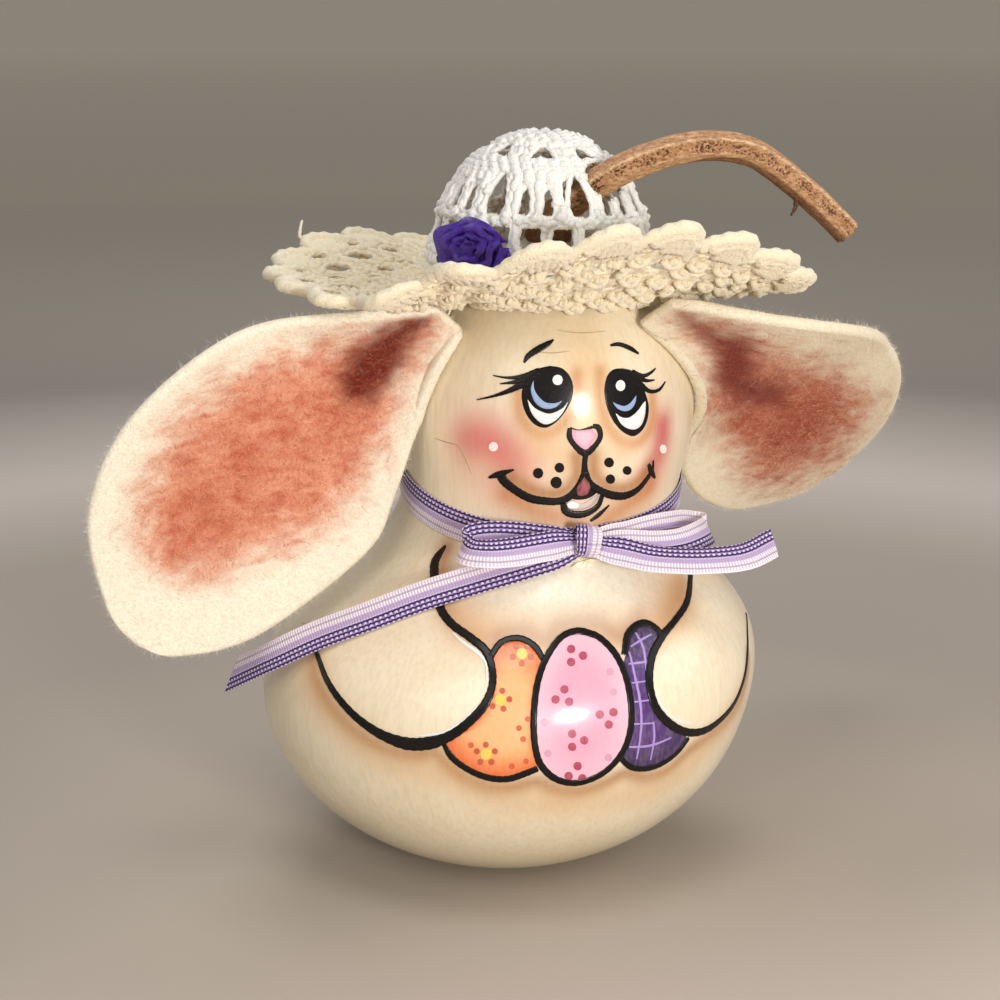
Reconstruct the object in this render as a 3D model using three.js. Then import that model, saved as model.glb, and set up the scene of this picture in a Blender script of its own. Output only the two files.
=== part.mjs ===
// Painted gourd ornament: a small bottle gourd painted as a rabbit that holds eggs,
// with felt ears, a ribbon bow and a crocheted doily hat that the gourd's own stem grows through.
// Millimetres, +Z up. The origin is on the floor under the middle of the bulb, and the rabbit faces -Y.
// Angles round the gourd are in degrees from -Y (the front) towards +X.

import * as THREE from "three";

// Driving dimensions of the gourd shell: each height is counted from the one below it
const bulbRadius = 62;
const bulbHeight = 46;
const baseFlatRadius = 22;
const shoulderFullness = 0.52;
const neckFullness = 0.55;
const shoulderRise = 47;
const neckRadius = 34.5;
const neckHeight = bulbHeight + shoulderRise;
const headRise = 20;
const headRadius = 36.5;
const headHeight = neckHeight + headRise;
const domeRise = 41;
const topHeight = headHeight + domeRise;
const headShift = 11;
const shiftStartShare = 0.6;
const shellWall = 4;
const stemHoleRadius = 2;

// Stem
const stemRootRadius = 5.5;
const stemRadius = 3.7;
const stemTipRadius = 3.2;
const stemRibDepth = 0.35;
const stemRibs = 7;
const stemSeatGap = 0.3;
const stemRootShare = 0.12;

// The stem's middle line, counted from its root
const stemSteps = [[0, 0, 0], [0.5, -4, 5], [4, -12.5, 11], [12, -18.5, 17.5], [22, -20.5, 21.5], [33, -20, 23],
  [45, -19, 21], [57, -18, 13.5], [67, -18.5, 5], [71, -19, 1]];

// Seeds that are left inside the dried gourd
const seedLength = 13;
const seedWidth = 6.4;
const seedThickness = 2.8;
const seedRingRadius = 11.4;
const seedsInRing = 6;
const seedGap = 0.3;
const seedNesting = 0.9;

// Crocheted hat
const crownNarrowing = 9.5;
const crownRadius = headRadius - crownNarrowing;
const crownHeight = 37;
const crownSquareness = 0.9;
const hatShift = -2;
const hatSeatGap = 1.9;
const hatRise = 29;
const hatBaseHeight = headHeight + hatRise;
const hatThickness = 2.4;
const crownTopHoleRadius = 2.5;
const brimWidth = 41;
const brimLobes = 24;
const lobeDepth = 4.5;
const brimCurve = 1.25;
const hatTilt = 2;
const crownPosts = 12;
const kiteTipRow = 4;
const kiteRows = [5, 6];
const squareRow = 8;
const columnsPerSquare = 4;
const stemOpeningClearance = 1.2;

// How far the brim's edge is turned up: angle, rise
const brimRises = [[-180, 2.5], [-165, 4.5], [-150, 6.5], [-135, 7], [-120, 5], [-105, 2], [-75, 2], [-60, 1.5],
  [-50, 3], [-40, 11], [-30, 12.5], [-20, 17], [-5, 21], [10, 22.5], [25, 21], [40, 17], [50, 12], [60, 8], [70, 4],
  [80, 2], [100, 1.5], [130, 1], [160, 1]];

// Rows and columns of the hat's mesh
const crownRows = 10;
const brimRows = 5;
const hatColumns = 72;

// Ribbon rose
const roseAngle = -49;
const roseHeight = 11.5;
const roseWidth = 19;
const roseRise = 13;
const roseDepth = 7;
const roseWraps = 3;
const roseGap = 1.3;
const roseWaver = 0.06;
const roseMiddleShare = 0.86;

// The rose's outline from its back to its middle: share of its width, share of its depth
const roseProfile = [[0.55, 0], [0.95, 0.12], [1, 0.35], [0.92, 0.6], [0.78, 0.72], [0.7, 0.58], [0.6, 0.8],
  [0.44, 0.94], [0.36, 0.8], [0.28, 0.98], [0.12, 0.9]];

// Felt ears, both cut to one pattern
const earThickness = 3;
const earFoldDepth = 7;
const earFoldLength = 22;
const earFoldHalfWidth = 13;
const earCup = 5;
const earGlueGap = 2;
const earEdgeAbove = [[0, 5.2], [13, 16.5], [34, 36.5], [61, 42.5], [89, 32], [103, 14], [107, 3]];
const earEdgeBelow = [[0, -5.2], [14, -10.5], [33, -20], [56, -24.5], [85, -16], [101, -6.5], [107, 3]];
const earLeft = { side: -1, rootAngle: -72, rootRise: 22, droop: 48, sweep: 0, lean: 7, curl: 0 };
const earRight = { side: 1, rootAngle: 71, rootRise: 19, droop: 41, sweep: 28, lean: -35, curl: -22 };

// Neck ribbon and bow
const ribbonWidth = 7;
const ribbonThickness = 0.5;
const ribbonGap = 0.4;
const bandRise = 1.5;
const bandHeight = neckHeight + bandRise;
const bandTilt = 7.8;
const knotWidth = 6.5;
const knotHeight = 7.5;
const knotDepth = 4.5;
const knotGap = 2.4;
const knotRounding = 0.55;
const tailSlant = 1.5;

// Routes of the bow's stretches: angle, height from the knot, distance from the gourd
const loopLeftRoute = [[-6.2, 0.3, 3], [-14, 0.7, 3], [-23, 1.4, 3.6], [-32, 1.4, 5.2], [-37.5, 0, 7.4],
  [-38.5, -2.9, 9.6], [-35, -5.7, 11.2], [-29.5, -5.9, 11], [-24, -4.4, 9.4], [-15, -1.7, 6.6], [-6.2, -0.4, 4.4]];
const loopRightRoute = [[6.2, 0, 3], [16, 0, 3], [26, 0.5, 3.8], [36, 0, 5.4], [46, -2.8, 7.6], [49, -7, 9.6],
  [41, -8.8, 10.8], [32, -7.6, 10.2], [24.5, -5.3, 8.4], [15, -2.7, 6.2], [6.2, -1.4, 4.4]];
const tailLeftRoute = [[-6.2, -2.4, 2], [-19, -5.3, 1.5], [-33, -8.7, 1.2], [-48, -13.4, 1.2], [-60, -18.8, 1.2],
  [-71, -24.7, 1.6], [-80, -31.2, 3.4], [-92, -38.6, 7.4]];
const tailRightRoute = [[6.2, -3, 5.8], [12.5, -5.5, 7.6], [19, -9.1, 9.8], [26.5, -12.1, 12], [33, -14.7, 14.8],
  [40.5, -17.2, 18.6], [49.5, -18.1, 22]];

// Glue under the ears, hat, bow and rose
const glueThickness = 0.6;
const glueGap = 0.4;
const glueRounding = 0.6;
const hatGlueAngles = [20, 115, 165, 230];
const hatGlueWidth = 12;
const hatGlueHeight = 4;
const earGlueWidth = 3.4;
const earGlueHeight = 10;
const bowGlueWidth = 5;
const bowGlueHeight = 6;
const roseGlueRadius = 3.5;

const degree = Math.PI / 180;

// Smooth step from 0 to 1 while x goes from low to high
function ease(x, low, high) {
  const t = Math.min(1, Math.max(0, (x - low) / (high - low)));
  return t * t * (3 - 2 * t);
}

// The gourd's outside radius at a height
function gourdRadius(z) {
  if (z <= bulbHeight) {
    const baseShare = Math.sqrt(1 - (baseFlatRadius / bulbRadius) ** 2);
    const drop = bulbHeight / baseShare;
    return bulbRadius * Math.sqrt(Math.max(0, 1 - ((bulbHeight - z) / drop) ** 2));
  }
  if (z <= neckHeight) {
    const t = (z - bulbHeight) / shoulderRise;
    return neckRadius + (bulbRadius - neckRadius) * shoulderShare(t);
  }
  if (z <= headHeight) {
    return neckRadius + (headRadius - neckRadius) * ease(z, neckHeight, headHeight);
  }
  const rise = (z - headHeight) / domeRise;
  return headRadius * Math.sqrt(Math.max(0, 1 - rise * rise));
}

// Share of the shoulder's width left at t, from the bulb (0) to the neck (1)
function shoulderShare(t) {
  const shoulder = new THREE.CubicBezierCurve(
    new THREE.Vector2(1, 0),
    new THREE.Vector2(1, shoulderFullness),
    new THREE.Vector2(0, neckFullness),
    new THREE.Vector2(0, 1),
  );
  let low = 0;
  let high = 1;
  for (let step = 0; step < 24; step++) {
    const middle = (low + high) / 2;
    if (shoulder.getPoint(middle).y < t) {
      low = middle;
    } else {
      high = middle;
    }
  }
  return shoulder.getPoint(low).x;
}

// The crooked gourd's axis stands aside at the head
function axisShift(z) {
  return headShift * ease(z, bulbHeight * shiftStartShare, headHeight);
}

// A point at an angle and height, away from the gourd's skin by a distance
function gourdPoint(angle, z, distance) {
  const slope = (gourdRadius(z + 0.5) - gourdRadius(z - 0.5));
  const length = Math.hypot(1, slope);
  const radius = gourdRadius(z) + distance / length;
  return new THREE.Vector3(
    axisShift(z) + radius * Math.sin(angle * degree),
    -radius * Math.cos(angle * degree),
    z - (distance * slope) / length,
  );
}

// The direction up the gourd's skin at an angle and height
function skinUp(angle, z) {
  return gourdPoint(angle, z + 1, 0).sub(gourdPoint(angle, z - 1, 0)).normalize();
}

// A closed body from rings of equally many points, each end closed by its own centre point
function bodyOfRings(rings, startPoint, endPoint) {
  const count = rings[0].length;
  const points = [startPoint, ...rings.flat(), endPoint];
  const last = points.length - 1;
  const faces = [];
  for (let i = 0; i < count; i++) {
    const next = (i + 1) % count;
    faces.push(0, 1 + next, 1 + i);
    for (let ring = 0; ring < rings.length - 1; ring++) {
      const low = 1 + ring * count;
      const high = low + count;
      faces.push(low + i, low + next, high + next, low + i, high + next, high + i);
    }
    const top = 1 + (rings.length - 1) * count;
    faces.push(last, top + i, top + next);
  }
  return geometryOf(points, faces);
}

// A closed sheet of cells between two skins, from rows of middle points and their outward directions
function bodyOfSheet(rows, directions, thickness, wraps, isOpen = () => false) {
  const columns = rows[0].length;
  const cellColumns = wraps ? columns : columns - 1;
  const points = [];
  for (const side of [1, -1]) {
    rows.forEach((row, r) => row.forEach((point, c) => {
      points.push(point.clone().addScaledVector(directions[r][c], (side * thickness) / 2));
    }));
  }
  const back = rows.length * columns;
  const at = (r, c) => r * columns + (c % columns);
  const solid = (r, c) => {
    if (r < 0 || r >= rows.length - 1) return false;
    if (!wraps && (c < 0 || c >= cellColumns)) return false;
    return !isOpen(r, (c + cellColumns) % cellColumns);
  };
  const faces = [];
  const wall = (a, b) => faces.push(a, back + b, b, a, back + a, back + b);
  for (let r = 0; r < rows.length - 1; r++) {
    for (let c = 0; c < cellColumns; c++) {
      if (!solid(r, c)) continue;
      const corners = [at(r, c), at(r, c + 1), at(r + 1, c + 1), at(r + 1, c)];
      faces.push(corners[0], corners[1], corners[2], corners[0], corners[2], corners[3]);
      faces.push(back + corners[0], back + corners[2], back + corners[1]);
      faces.push(back + corners[0], back + corners[3], back + corners[2]);
      if (!solid(r - 1, c)) wall(corners[0], corners[1]);
      if (!solid(r, c + 1)) wall(corners[1], corners[2]);
      if (!solid(r + 1, c)) wall(corners[2], corners[3]);
      if (!solid(r, c - 1)) wall(corners[3], corners[0]);
    }
  }
  return geometryOf(points, faces);
}

// A geometry from points and faces, with unused points dropped and the faces turned to point out
function geometryOf(points, faces) {
  const used = [...new Set(faces)].sort((a, b) => a - b);
  const place = new Map(used.map((old, index) => [old, index]));
  let volume = 0;
  for (let i = 0; i < faces.length; i += 3) {
    const [a, b, c] = [points[faces[i]], points[faces[i + 1]], points[faces[i + 2]]];
    volume += a.dot(b.clone().cross(c));
  }
  const turned = volume < 0 ? faces.slice().reverse() : faces;
  const geometry = new THREE.BufferGeometry();
  const positions = used.flatMap((old) => points[old].toArray());
  geometry.setAttribute("position", new THREE.Float32BufferAttribute(positions, 3));
  geometry.setIndex(turned.map((old) => place.get(old)));
  geometry.computeVertexNormals();
  return geometry;
}

// A ring of points round a centre, in the plane of two directions
function ringOfPoints(centre, across, up, count, radiusAt) {
  return Array.from({ length: count }, (_, i) => {
    const turn = (i / count) * 2 * Math.PI;
    const radius = radiusAt(turn);
    return centre.clone()
      .addScaledVector(across, radius * Math.cos(turn))
      .addScaledVector(up, radius * Math.sin(turn));
  });
}

function materialOf(color, roughness) {
  return new THREE.MeshStandardMaterial({ color, roughness, metalness: 0 });
}

function mesh(name, geometry, material) {
  const piece = new THREE.Mesh(geometry, material);
  piece.name = name;
  return piece;
}

// The heights of the shell's rings, close together where its outline bends
function shellHeights() {
  const heights = [];
  for (let i = 0; i < 6; i++) heights.push(bulbHeight * (1 - Math.cos((i / 6) * 90 * degree)));
  for (let i = 0; i < 10; i++) heights.push(bulbHeight + shoulderRise * (i / 10));
  for (let i = 0; i < 4; i++) heights.push(neckHeight + headRise * (i / 4));
  for (let i = 0; i < 9; i++) heights.push(headHeight + domeRise * Math.sin(i * 10 * degree));
  const holeShare = Math.sqrt(1 - (stemHoleRadius / headRadius) ** 2);
  heights.push(headHeight + domeRise * holeShare);
  return heights;
}

// Gourd shell: outside from the base to the stem hole, then inside back down to the floor
function gourdShell() {
  const segments = 44;
  const heights = shellHeights();
  const ringAt = (z, distance) => Array.from({ length: segments }, (_, i) =>
    gourdPoint((i / segments) * 360, z, distance));
  const outside = heights.map((z) => ringAt(z, 0));
  const insideHeights = heights.filter((z, index) => index % 2 === 0 && z < topHeight - 2 * shellWall);
  const holeInside = new THREE.Vector3(axisShift(topHeight), 0, topHeight - shellWall);
  const inside = insideHeights.reverse().map((z) => ringAt(z, -shellWall));
  const holeRing = ringOfPoints(
    holeInside, new THREE.Vector3(0, -1, 0), new THREE.Vector3(1, 0, 0), segments, () => stemHoleRadius);
  const floorHeight = inside.at(-1)[0].z;
  const geometry = bodyOfRings(
    [...outside, holeRing, ...inside],
    new THREE.Vector3(0, 0, 0),
    new THREE.Vector3(0, 0, floorHeight),
  );
  return { piece: mesh("gourd_shell", geometry, materialOf(0xf1e2c4, 0.4)), floorHeight };
}

// The stem's middle line, from the top of the gourd out through the crown
function stemCurve() {
  const root = new THREE.Vector3(axisShift(topHeight), 0, topHeight + stemSeatGap);
  return new THREE.CatmullRomCurve3(stemSteps.map(([x, y, z]) => new THREE.Vector3(x, y, z).add(root)));
}

function stem() {
  const curve = stemCurve();
  const rings = 26;
  const sides = 14;
  const built = [];
  for (let i = 0; i <= rings; i++) {
    const t = i / rings;
    const tangent = i === 0 ? new THREE.Vector3(0, 0, 1) : curve.getTangentAt(t);
    const across = new THREE.Vector3(0, -1, 0).cross(tangent).normalize();
    const up = tangent.clone().cross(across);
    const body = THREE.MathUtils.lerp(stemRadius, stemTipRadius, t);
    const radius = body + (stemRootRadius - stemRadius) * (1 - ease(t, 0, stemRootShare));
    built.push(ringOfPoints(curve.getPointAt(t), across, up, sides,
      (turn) => radius + stemRibDepth * Math.cos(stemRibs * turn)));
  }
  const geometry = bodyOfRings(built, curve.getPointAt(0), curve.getPointAt(1));
  return mesh("stem", geometry, materialOf(0xb07f50, 0.85));
}

// One flat seed with rounded shoulders
function seedGeometry() {
  const rings = 5;
  const sides = 8;
  const built = [];
  for (let i = 0; i < rings; i++) {
    const along = -1 + (2 * (i + 0.5)) / rings;
    const share = (1 - Math.abs(along) ** 3) ** 0.5;
    const centre = new THREE.Vector3((along * seedLength) / 2, 0, 0);
    built.push(Array.from({ length: sides }, (_, s) => {
      const turn = (s / sides) * 2 * Math.PI;
      return centre.clone().add(new THREE.Vector3(
        0,
        (Math.cos(turn) * seedWidth * share) / 2,
        (Math.sin(turn) * seedThickness * share) / 2,
      ));
    }));
  }
  const end = new THREE.Vector3(seedLength / 2, 0, 0);
  return bodyOfRings(built, end.clone().negate(), end);
}

function seeds(floorHeight) {
  const group = new THREE.Group();
  const floor = floorHeight + seedGap + seedThickness / 2;
  const layer = seedThickness + seedGap - seedNesting;
  for (let i = 0; i < seedsInRing; i++) {
    const turn = (i / seedsInRing) * 2 * Math.PI;
    const seed = mesh(`seed_${i + 1}`, seedGeometry(), materialOf(0xcdb98f, 0.8));
    seed.position.set(seedRingRadius * Math.cos(turn), seedRingRadius * Math.sin(turn), floor);
    seed.rotation.z = turn;
    group.add(seed);
  }
  for (const [i, side] of [-1, 1].entries()) {
    const seed = mesh(`seed_${seedsInRing + 1 + i}`, seedGeometry(), materialOf(0xcdb98f, 0.8));
    seed.position.set(side * (seedWidth / 2 + seedGap), 0, floor + layer);
    seed.rotation.z = Math.PI / 2;
    group.add(seed);
  }
  return group;
}

// A point of the brim's list of rises, which goes on round the hat
function brimRise(index) {
  const count = brimRises.length;
  const turns = Math.floor(index / count);
  const [angle, rise] = brimRises[index - turns * count];
  return { angle: angle + 360 * turns, rise };
}

// How far the brim's edge is turned up at an angle, on a smooth line through the listed rises
function turnUpAt(angle) {
  const turned = ((angle + 180) % 360) - 180;
  const next = brimRises.filter(([listed]) => listed <= turned).length;
  const [before, low, high, after] = [-2, -1, 0, 1].map((step) => brimRise(next + step));
  const span = high.angle - low.angle;
  const t = (turned - low.angle) / span;
  const lowSlope = ((high.rise - before.rise) / (high.angle - before.angle)) * span;
  const highSlope = ((after.rise - low.rise) / (after.angle - low.angle)) * span;
  return low.rise * (1 - ease(t, 0, 1)) + high.rise * ease(t, 0, 1)
    + lowSlope * t * (1 - t) ** 2 - highSlope * t * t * (1 - t);
}

// The hat's middle surface: row 0 is the crown's top, and the last row is the brim's edge
function hatPoint(row, angle) {
  let radius;
  let height;
  if (row <= crownRows) {
    const topTurn = Math.asin(crownTopHoleRadius / crownRadius);
    const turn = topTurn + (Math.PI / 2 - topTurn) * (row / crownRows);
    radius = crownRadius * Math.sin(turn) ** crownSquareness;
    height = crownHeight * Math.cos(turn) ** crownSquareness;
  } else {
    const share = (row - crownRows) / brimRows;
    const lobe = Math.abs(Math.sin((angle / 2) * degree * brimLobes));
    const edge = ease(share, 0.5, 1);
    const slant = (brimWidth + lobeDepth * (lobe - 0.5) * edge) * share;
    const rise = turnUpAt(angle);
    const reach = Math.sqrt(1 - (rise / brimWidth) ** 2);
    radius = crownRadius + slant * reach;
    height = rise * share ** brimCurve;
  }
  const tilt = hatTilt * degree;
  const x = radius * Math.sin(angle * degree);
  const point = new THREE.Vector3(
    axisShift(hatBaseHeight) + hatShift + x * Math.cos(tilt) + height * Math.sin(tilt),
    -radius * Math.cos(angle * degree),
    hatBaseHeight + height * Math.cos(tilt) - x * Math.sin(tilt),
  );
  return keepOffGourd(point, hatThickness / 2 + hatSeatGap);
}

function hatAngle(column) {
  return ((column % hatColumns) / hatColumns) * 360;
}

function hatDirection(row, angle) {
  const last = crownRows + brimRows;
  const down = hatPoint(Math.min(last, row + 0.5), angle).sub(hatPoint(Math.max(0, row - 0.5), angle));
  const round = hatPoint(row, angle + 1).sub(hatPoint(row, angle - 1));
  return down.cross(round).normalize();
}

// Which cells of the crown are open between its posts
function crownCellOpen(row, column) {
  const sector = hatColumns / crownPosts;
  const inSector = (column % sector) - (sector - 1) / 2;
  if (row === kiteTipRow) return Math.abs(inSector) < 1;
  if (kiteRows.includes(row)) return Math.abs(inSector) < 2;
  const inSquare = column % columnsPerSquare;
  return row === squareRow && inSquare > 0 && inSquare < columnsPerSquare - 1;
}

// The crown's open cells, with those that the stem passes through
function hatOpenCells() {
  const line = stemCurve().getPoints(80);
  const open = Array.from({ length: crownRows + brimRows }, (_, row) =>
    Array.from({ length: hatColumns }, (_, column) => {
      const centre = hatPoint(row + 0.5, hatAngle(column + 0.5));
      const corner = hatPoint(row, hatAngle(column));
      const away = Math.min(...line.map((point) => point.distanceTo(centre)));
      const reach = stemRadius + stemRibDepth + stemOpeningClearance + corner.distanceTo(centre);
      return (row > 0 && away < reach) || crownCellOpen(row, column);
    }));
  openCorners(open);
  return open;
}

// Opens a cell wherever two closed cells would touch at one corner only
function openCorners(open) {
  let changed = true;
  while (changed) {
    changed = false;
    for (let row = 0; row < open.length - 1; row++) {
      for (let column = 0; column < hatColumns; column++) {
        const next = (column + 1) % hatColumns;
        const [a, b] = [open[row][column], open[row][next]];
        const [c, d] = [open[row + 1][column], open[row + 1][next]];
        if (a === d && b === c && a !== b) {
          open[row][column] = true;
          open[row][next] = true;
          changed = true;
        }
      }
    }
  }
}

function hat() {
  const rows = [];
  const directions = [];
  for (let row = 0; row <= crownRows + brimRows; row++) {
    const angles = Array.from({ length: hatColumns }, (_, column) => hatAngle(column));
    rows.push(angles.map((angle) => hatPoint(row, angle)));
    directions.push(angles.map((angle) => hatDirection(row, angle)));
  }
  const open = hatOpenCells();
  const geometry = bodyOfSheet(rows, directions, hatThickness, true, (row, column) => open[row][column]);
  return mesh("crocheted_hat", geometry, materialOf(0xf2e3c4, 0.9));
}

// Ribbon rose: a ribbon folded round itself, a low cone of wraps that faces out of the hat
function rose() {
  const { place, across, up, outward } = roseFrame();
  const back = place.addScaledVector(outward, hatThickness / 2 + roseGap);
  across.multiplyScalar(roseWidth / 2);
  up.multiplyScalar(roseRise / 2);
  const rings = [];
  for (const [share, rise] of roseProfile) {
    const centre = back.clone().addScaledVector(outward, roseDepth * rise);
    rings.push(ringOfPoints(centre, across, up, 18,
      (turn) => share * (1 + roseWaver * Math.cos(roseWraps * (turn + rise)))));
  }
  const start = back.clone();
  const end = back.clone().addScaledVector(outward, roseDepth * roseMiddleShare);
  return mesh("ribbon_rose", bodyOfRings(rings, start, end), materialOf(0x3b1a86, 0.35));
}

// The place on the crown behind the rose, and the rose's directions: across it, up it and out of the crown
function roseFrame() {
  const topTurn = Math.asin(crownTopHoleRadius / crownRadius);
  const turn = Math.acos((roseHeight / crownHeight) ** (1 / crownSquareness));
  const row = (crownRows * (turn - topTurn)) / (Math.PI / 2 - topTurn);
  const outward = hatDirection(row, roseAngle);
  const across = new THREE.Vector3(0, 0, 1).cross(outward).normalize();
  const up = outward.clone().cross(across);
  return { place: hatPoint(row, roseAngle), across, up, outward };
}

// The round dab of glue between the crown and the rose
function roseGlue() {
  const { place, across, up, outward } = roseFrame();
  const start = place.addScaledVector(outward, hatThickness / 2 + glueGap);
  const end = start.clone().addScaledVector(outward, glueThickness);
  const rings = [start, end].map((centre) => ringOfPoints(centre, across, up, 12, () => roseGlueRadius));
  return mesh("rose_glue", bodyOfRings(rings, start, end), materialOf(0xe9dcc0, 0.3));
}

// The three directions of an ear: along it, up across it and out of its painted face
function earFrame(ear) {
  const droop = ear.droop * degree;
  const sweep = ear.sweep * degree;
  const lean = ear.lean * degree;
  const along = new THREE.Vector3(
    ear.side * Math.cos(droop) * Math.cos(sweep),
    Math.cos(droop) * Math.sin(sweep),
    -Math.sin(droop),
  );
  const level = new THREE.Vector3(ear.side * Math.sin(sweep), -Math.cos(sweep), 0);
  const upright = new THREE.Vector3(
    ear.side * Math.sin(droop) * Math.cos(sweep),
    Math.sin(droop) * Math.sin(sweep),
    Math.cos(droop),
  );
  const across = upright.clone().multiplyScalar(Math.cos(lean)).addScaledVector(level, -Math.sin(lean));
  const face = level.clone().multiplyScalar(Math.cos(lean)).addScaledVector(upright, Math.sin(lean));
  return { along, across, face };
}

// The edges of the ear's pattern as curves through their few points
function edgeCurve(points) {
  return new THREE.SplineCurve(points.map(([u, v]) => new THREE.Vector2(u, v)));
}

// Moves a point straight out from the gourd's axis until it is clear of the skin by a distance
function keepOffGourd(point, distance) {
  const least = gourdRadius(point.z) + distance;
  const dx = point.x - axisShift(point.z);
  const away = Math.hypot(dx, point.y);
  if (away < least) {
    point.x = axisShift(point.z) + (dx * least) / away;
    point.y *= least / away;
  }
  return point;
}

// A point of an ear's middle surface, kept off the gourd by the felt and its glue
function earPoint(ear, frame, u, v) {
  const fold = Math.exp(-((u / earFoldLength) ** 2)) * Math.max(0, 1 - Math.abs(v) / earFoldHalfWidth);
  const cup = earCup * (v / earFoldLength) ** 2 * Math.exp(-u / (3 * earFoldLength));
  const curl = ear.curl * (u / earEdgeAbove.at(-1)[0]) ** 2;
  const root = gourdPoint(ear.rootAngle, headHeight + ear.rootRise, earGlueGap + earThickness / 2);
  const point = root
    .addScaledVector(frame.along, u)
    .addScaledVector(frame.across, v)
    .addScaledVector(frame.face, cup + curl - earFoldDepth * fold * ease(u, 0, earFoldLength / 2));
  return keepOffGourd(point, earThickness / 2 + earGlueGap);
}

function ear(name, shape) {
  const frame = earFrame(shape);
  const above = edgeCurve(earEdgeAbove);
  const below = edgeCurve(earEdgeBelow);
  const stations = 14;
  const lanes = 8;
  const rows = [];
  for (let i = 0; i <= stations; i++) {
    const t = Math.min(0.985, Math.sin((i / stations) * Math.PI / 2) ** 1.15);
    const high = above.getPoint(t);
    const low = below.getPoint(t);
    rows.push(Array.from({ length: lanes + 1 }, (_, j) => {
      const place = low.clone().lerp(high, j / lanes);
      return earPoint(shape, frame, place.x, place.y);
    }));
  }
  const directions = rows.map((row, r) => row.map((_, c) => {
    const along = rows[Math.min(stations, r + 1)][c].clone().sub(rows[Math.max(0, r - 1)][c]);
    const across = row[Math.min(lanes, c + 1)].clone().sub(row[Math.max(0, c - 1)]);
    return along.cross(across).normalize();
  }));
  return mesh(name, bodyOfSheet(rows, directions, earThickness, false), materialOf(0xf0e0c2, 0.95));
}

// The height of the neck band's middle at an angle: low at the front
function bandZ(angle) {
  return bandHeight - bandTilt * Math.cos(angle * degree);
}

function neckRibbon() {
  const columns = 60;
  const angles = Array.from({ length: columns }, (_, i) => (i / columns) * 360);
  const distance = ribbonGap + ribbonThickness / 2;
  const rows = [-0.5, 0, 0.5].map((share) =>
    angles.map((angle) => gourdPoint(angle, bandZ(angle) + share * ribbonWidth, distance)));
  const directions = rows.map((row) => row.map((point) =>
    new THREE.Vector3(point.x - axisShift(point.z), point.y, 0).normalize()));
  const geometry = bodyOfSheet(rows, directions, ribbonThickness, true);
  return mesh("neck_ribbon", geometry, materialOf(0xb79ac2, 0.6));
}

// A strip of ribbon along a route given as angle, height from the knot and distance from the gourd
function ribbonStrip(name, route, slant) {
  const places = route.map(([angle, height, distance]) => gourdPoint(angle, bandZ(0) + height, distance));
  const ups = route.map(([angle, height]) => skinUp(angle, bandZ(0) + height));
  const curve = new THREE.CatmullRomCurve3(places);
  const upCurve = new THREE.CatmullRomCurve3(ups);
  const steps = route.length * 4;
  const rows = [];
  const directions = [];
  for (let i = 0; i <= steps; i++) {
    const t = i / steps;
    const tangent = curve.getTangent(t);
    const width = upCurve.getPoint(t).addScaledVector(tangent, -upCurve.getPoint(t).dot(tangent)).normalize();
    const out = width.clone().cross(tangent).normalize();
    const trim = slant * ease(t, 1 - 2 / steps, 1);
    rows.push([-1, 1].map((side) => curve.getPoint(t)
      .addScaledVector(width, (side * ribbonWidth) / 2)
      .addScaledVector(tangent, side * trim)));
    directions.push([out, out]);
  }
  return mesh(name, bodyOfSheet(rows, directions, ribbonThickness, false), materialOf(0xb79ac2, 0.6));
}

// The knot: one turn of ribbon drawn tight over the neck band
function knot() {
  const sides = 14;
  const centreDistance = knotGap + knotDepth / 2;
  const centre = gourdPoint(0, bandZ(0), centreDistance);
  const across = new THREE.Vector3(1, 0, 0);
  const outward = new THREE.Vector3(0, -1, 0);
  const rings = [-1, -0.6, 0, 0.6, 1].map((share) => {
    const width = share * (knotHeight / 2);
    const full = Math.sqrt(1 - knotRounding * share * share);
    const ringCentre = centre.clone().setZ(centre.z + width);
    return Array.from({ length: sides }, (_, i) => {
      const turn = (i / sides) * 2 * Math.PI;
      return ringCentre.clone()
        .addScaledVector(across, (Math.cos(turn) * knotWidth * full) / 2)
        .addScaledVector(outward, (Math.sin(turn) * knotDepth * full) / 2);
    });
  });
  const low = centre.clone().setZ(centre.z - knotHeight / 2);
  const high = centre.clone().setZ(centre.z + knotHeight / 2);
  return mesh("bow_knot", bodyOfRings(rings, low, high), materialOf(0xb79ac2, 0.6));
}

// A thin dab of glue that follows the gourd's skin
function gluePad(name, angle, z, width, height, gap) {
  const cells = 4;
  const distance = gap + glueThickness / 2;
  const rows = [];
  for (let r = 0; r <= cells; r++) {
    const share = (2 * r) / cells - 1;
    const narrow = (width / 2) * Math.sqrt(1 - glueRounding * share * share);
    rows.push(Array.from({ length: cells + 1 }, (_, c) => {
      const turn = (((2 * c) / cells - 1) * narrow) / (gourdRadius(z) * degree);
      return gourdPoint(angle + turn, z + (share * height) / 2, distance);
    }));
  }
  const directions = rows.map((row) => row.map((point) =>
    new THREE.Vector3(point.x - axisShift(point.z), point.y, 0).normalize()));
  return mesh(name, bodyOfSheet(rows, directions, glueThickness, false), materialOf(0xe9dcc0, 0.3));
}

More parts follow.
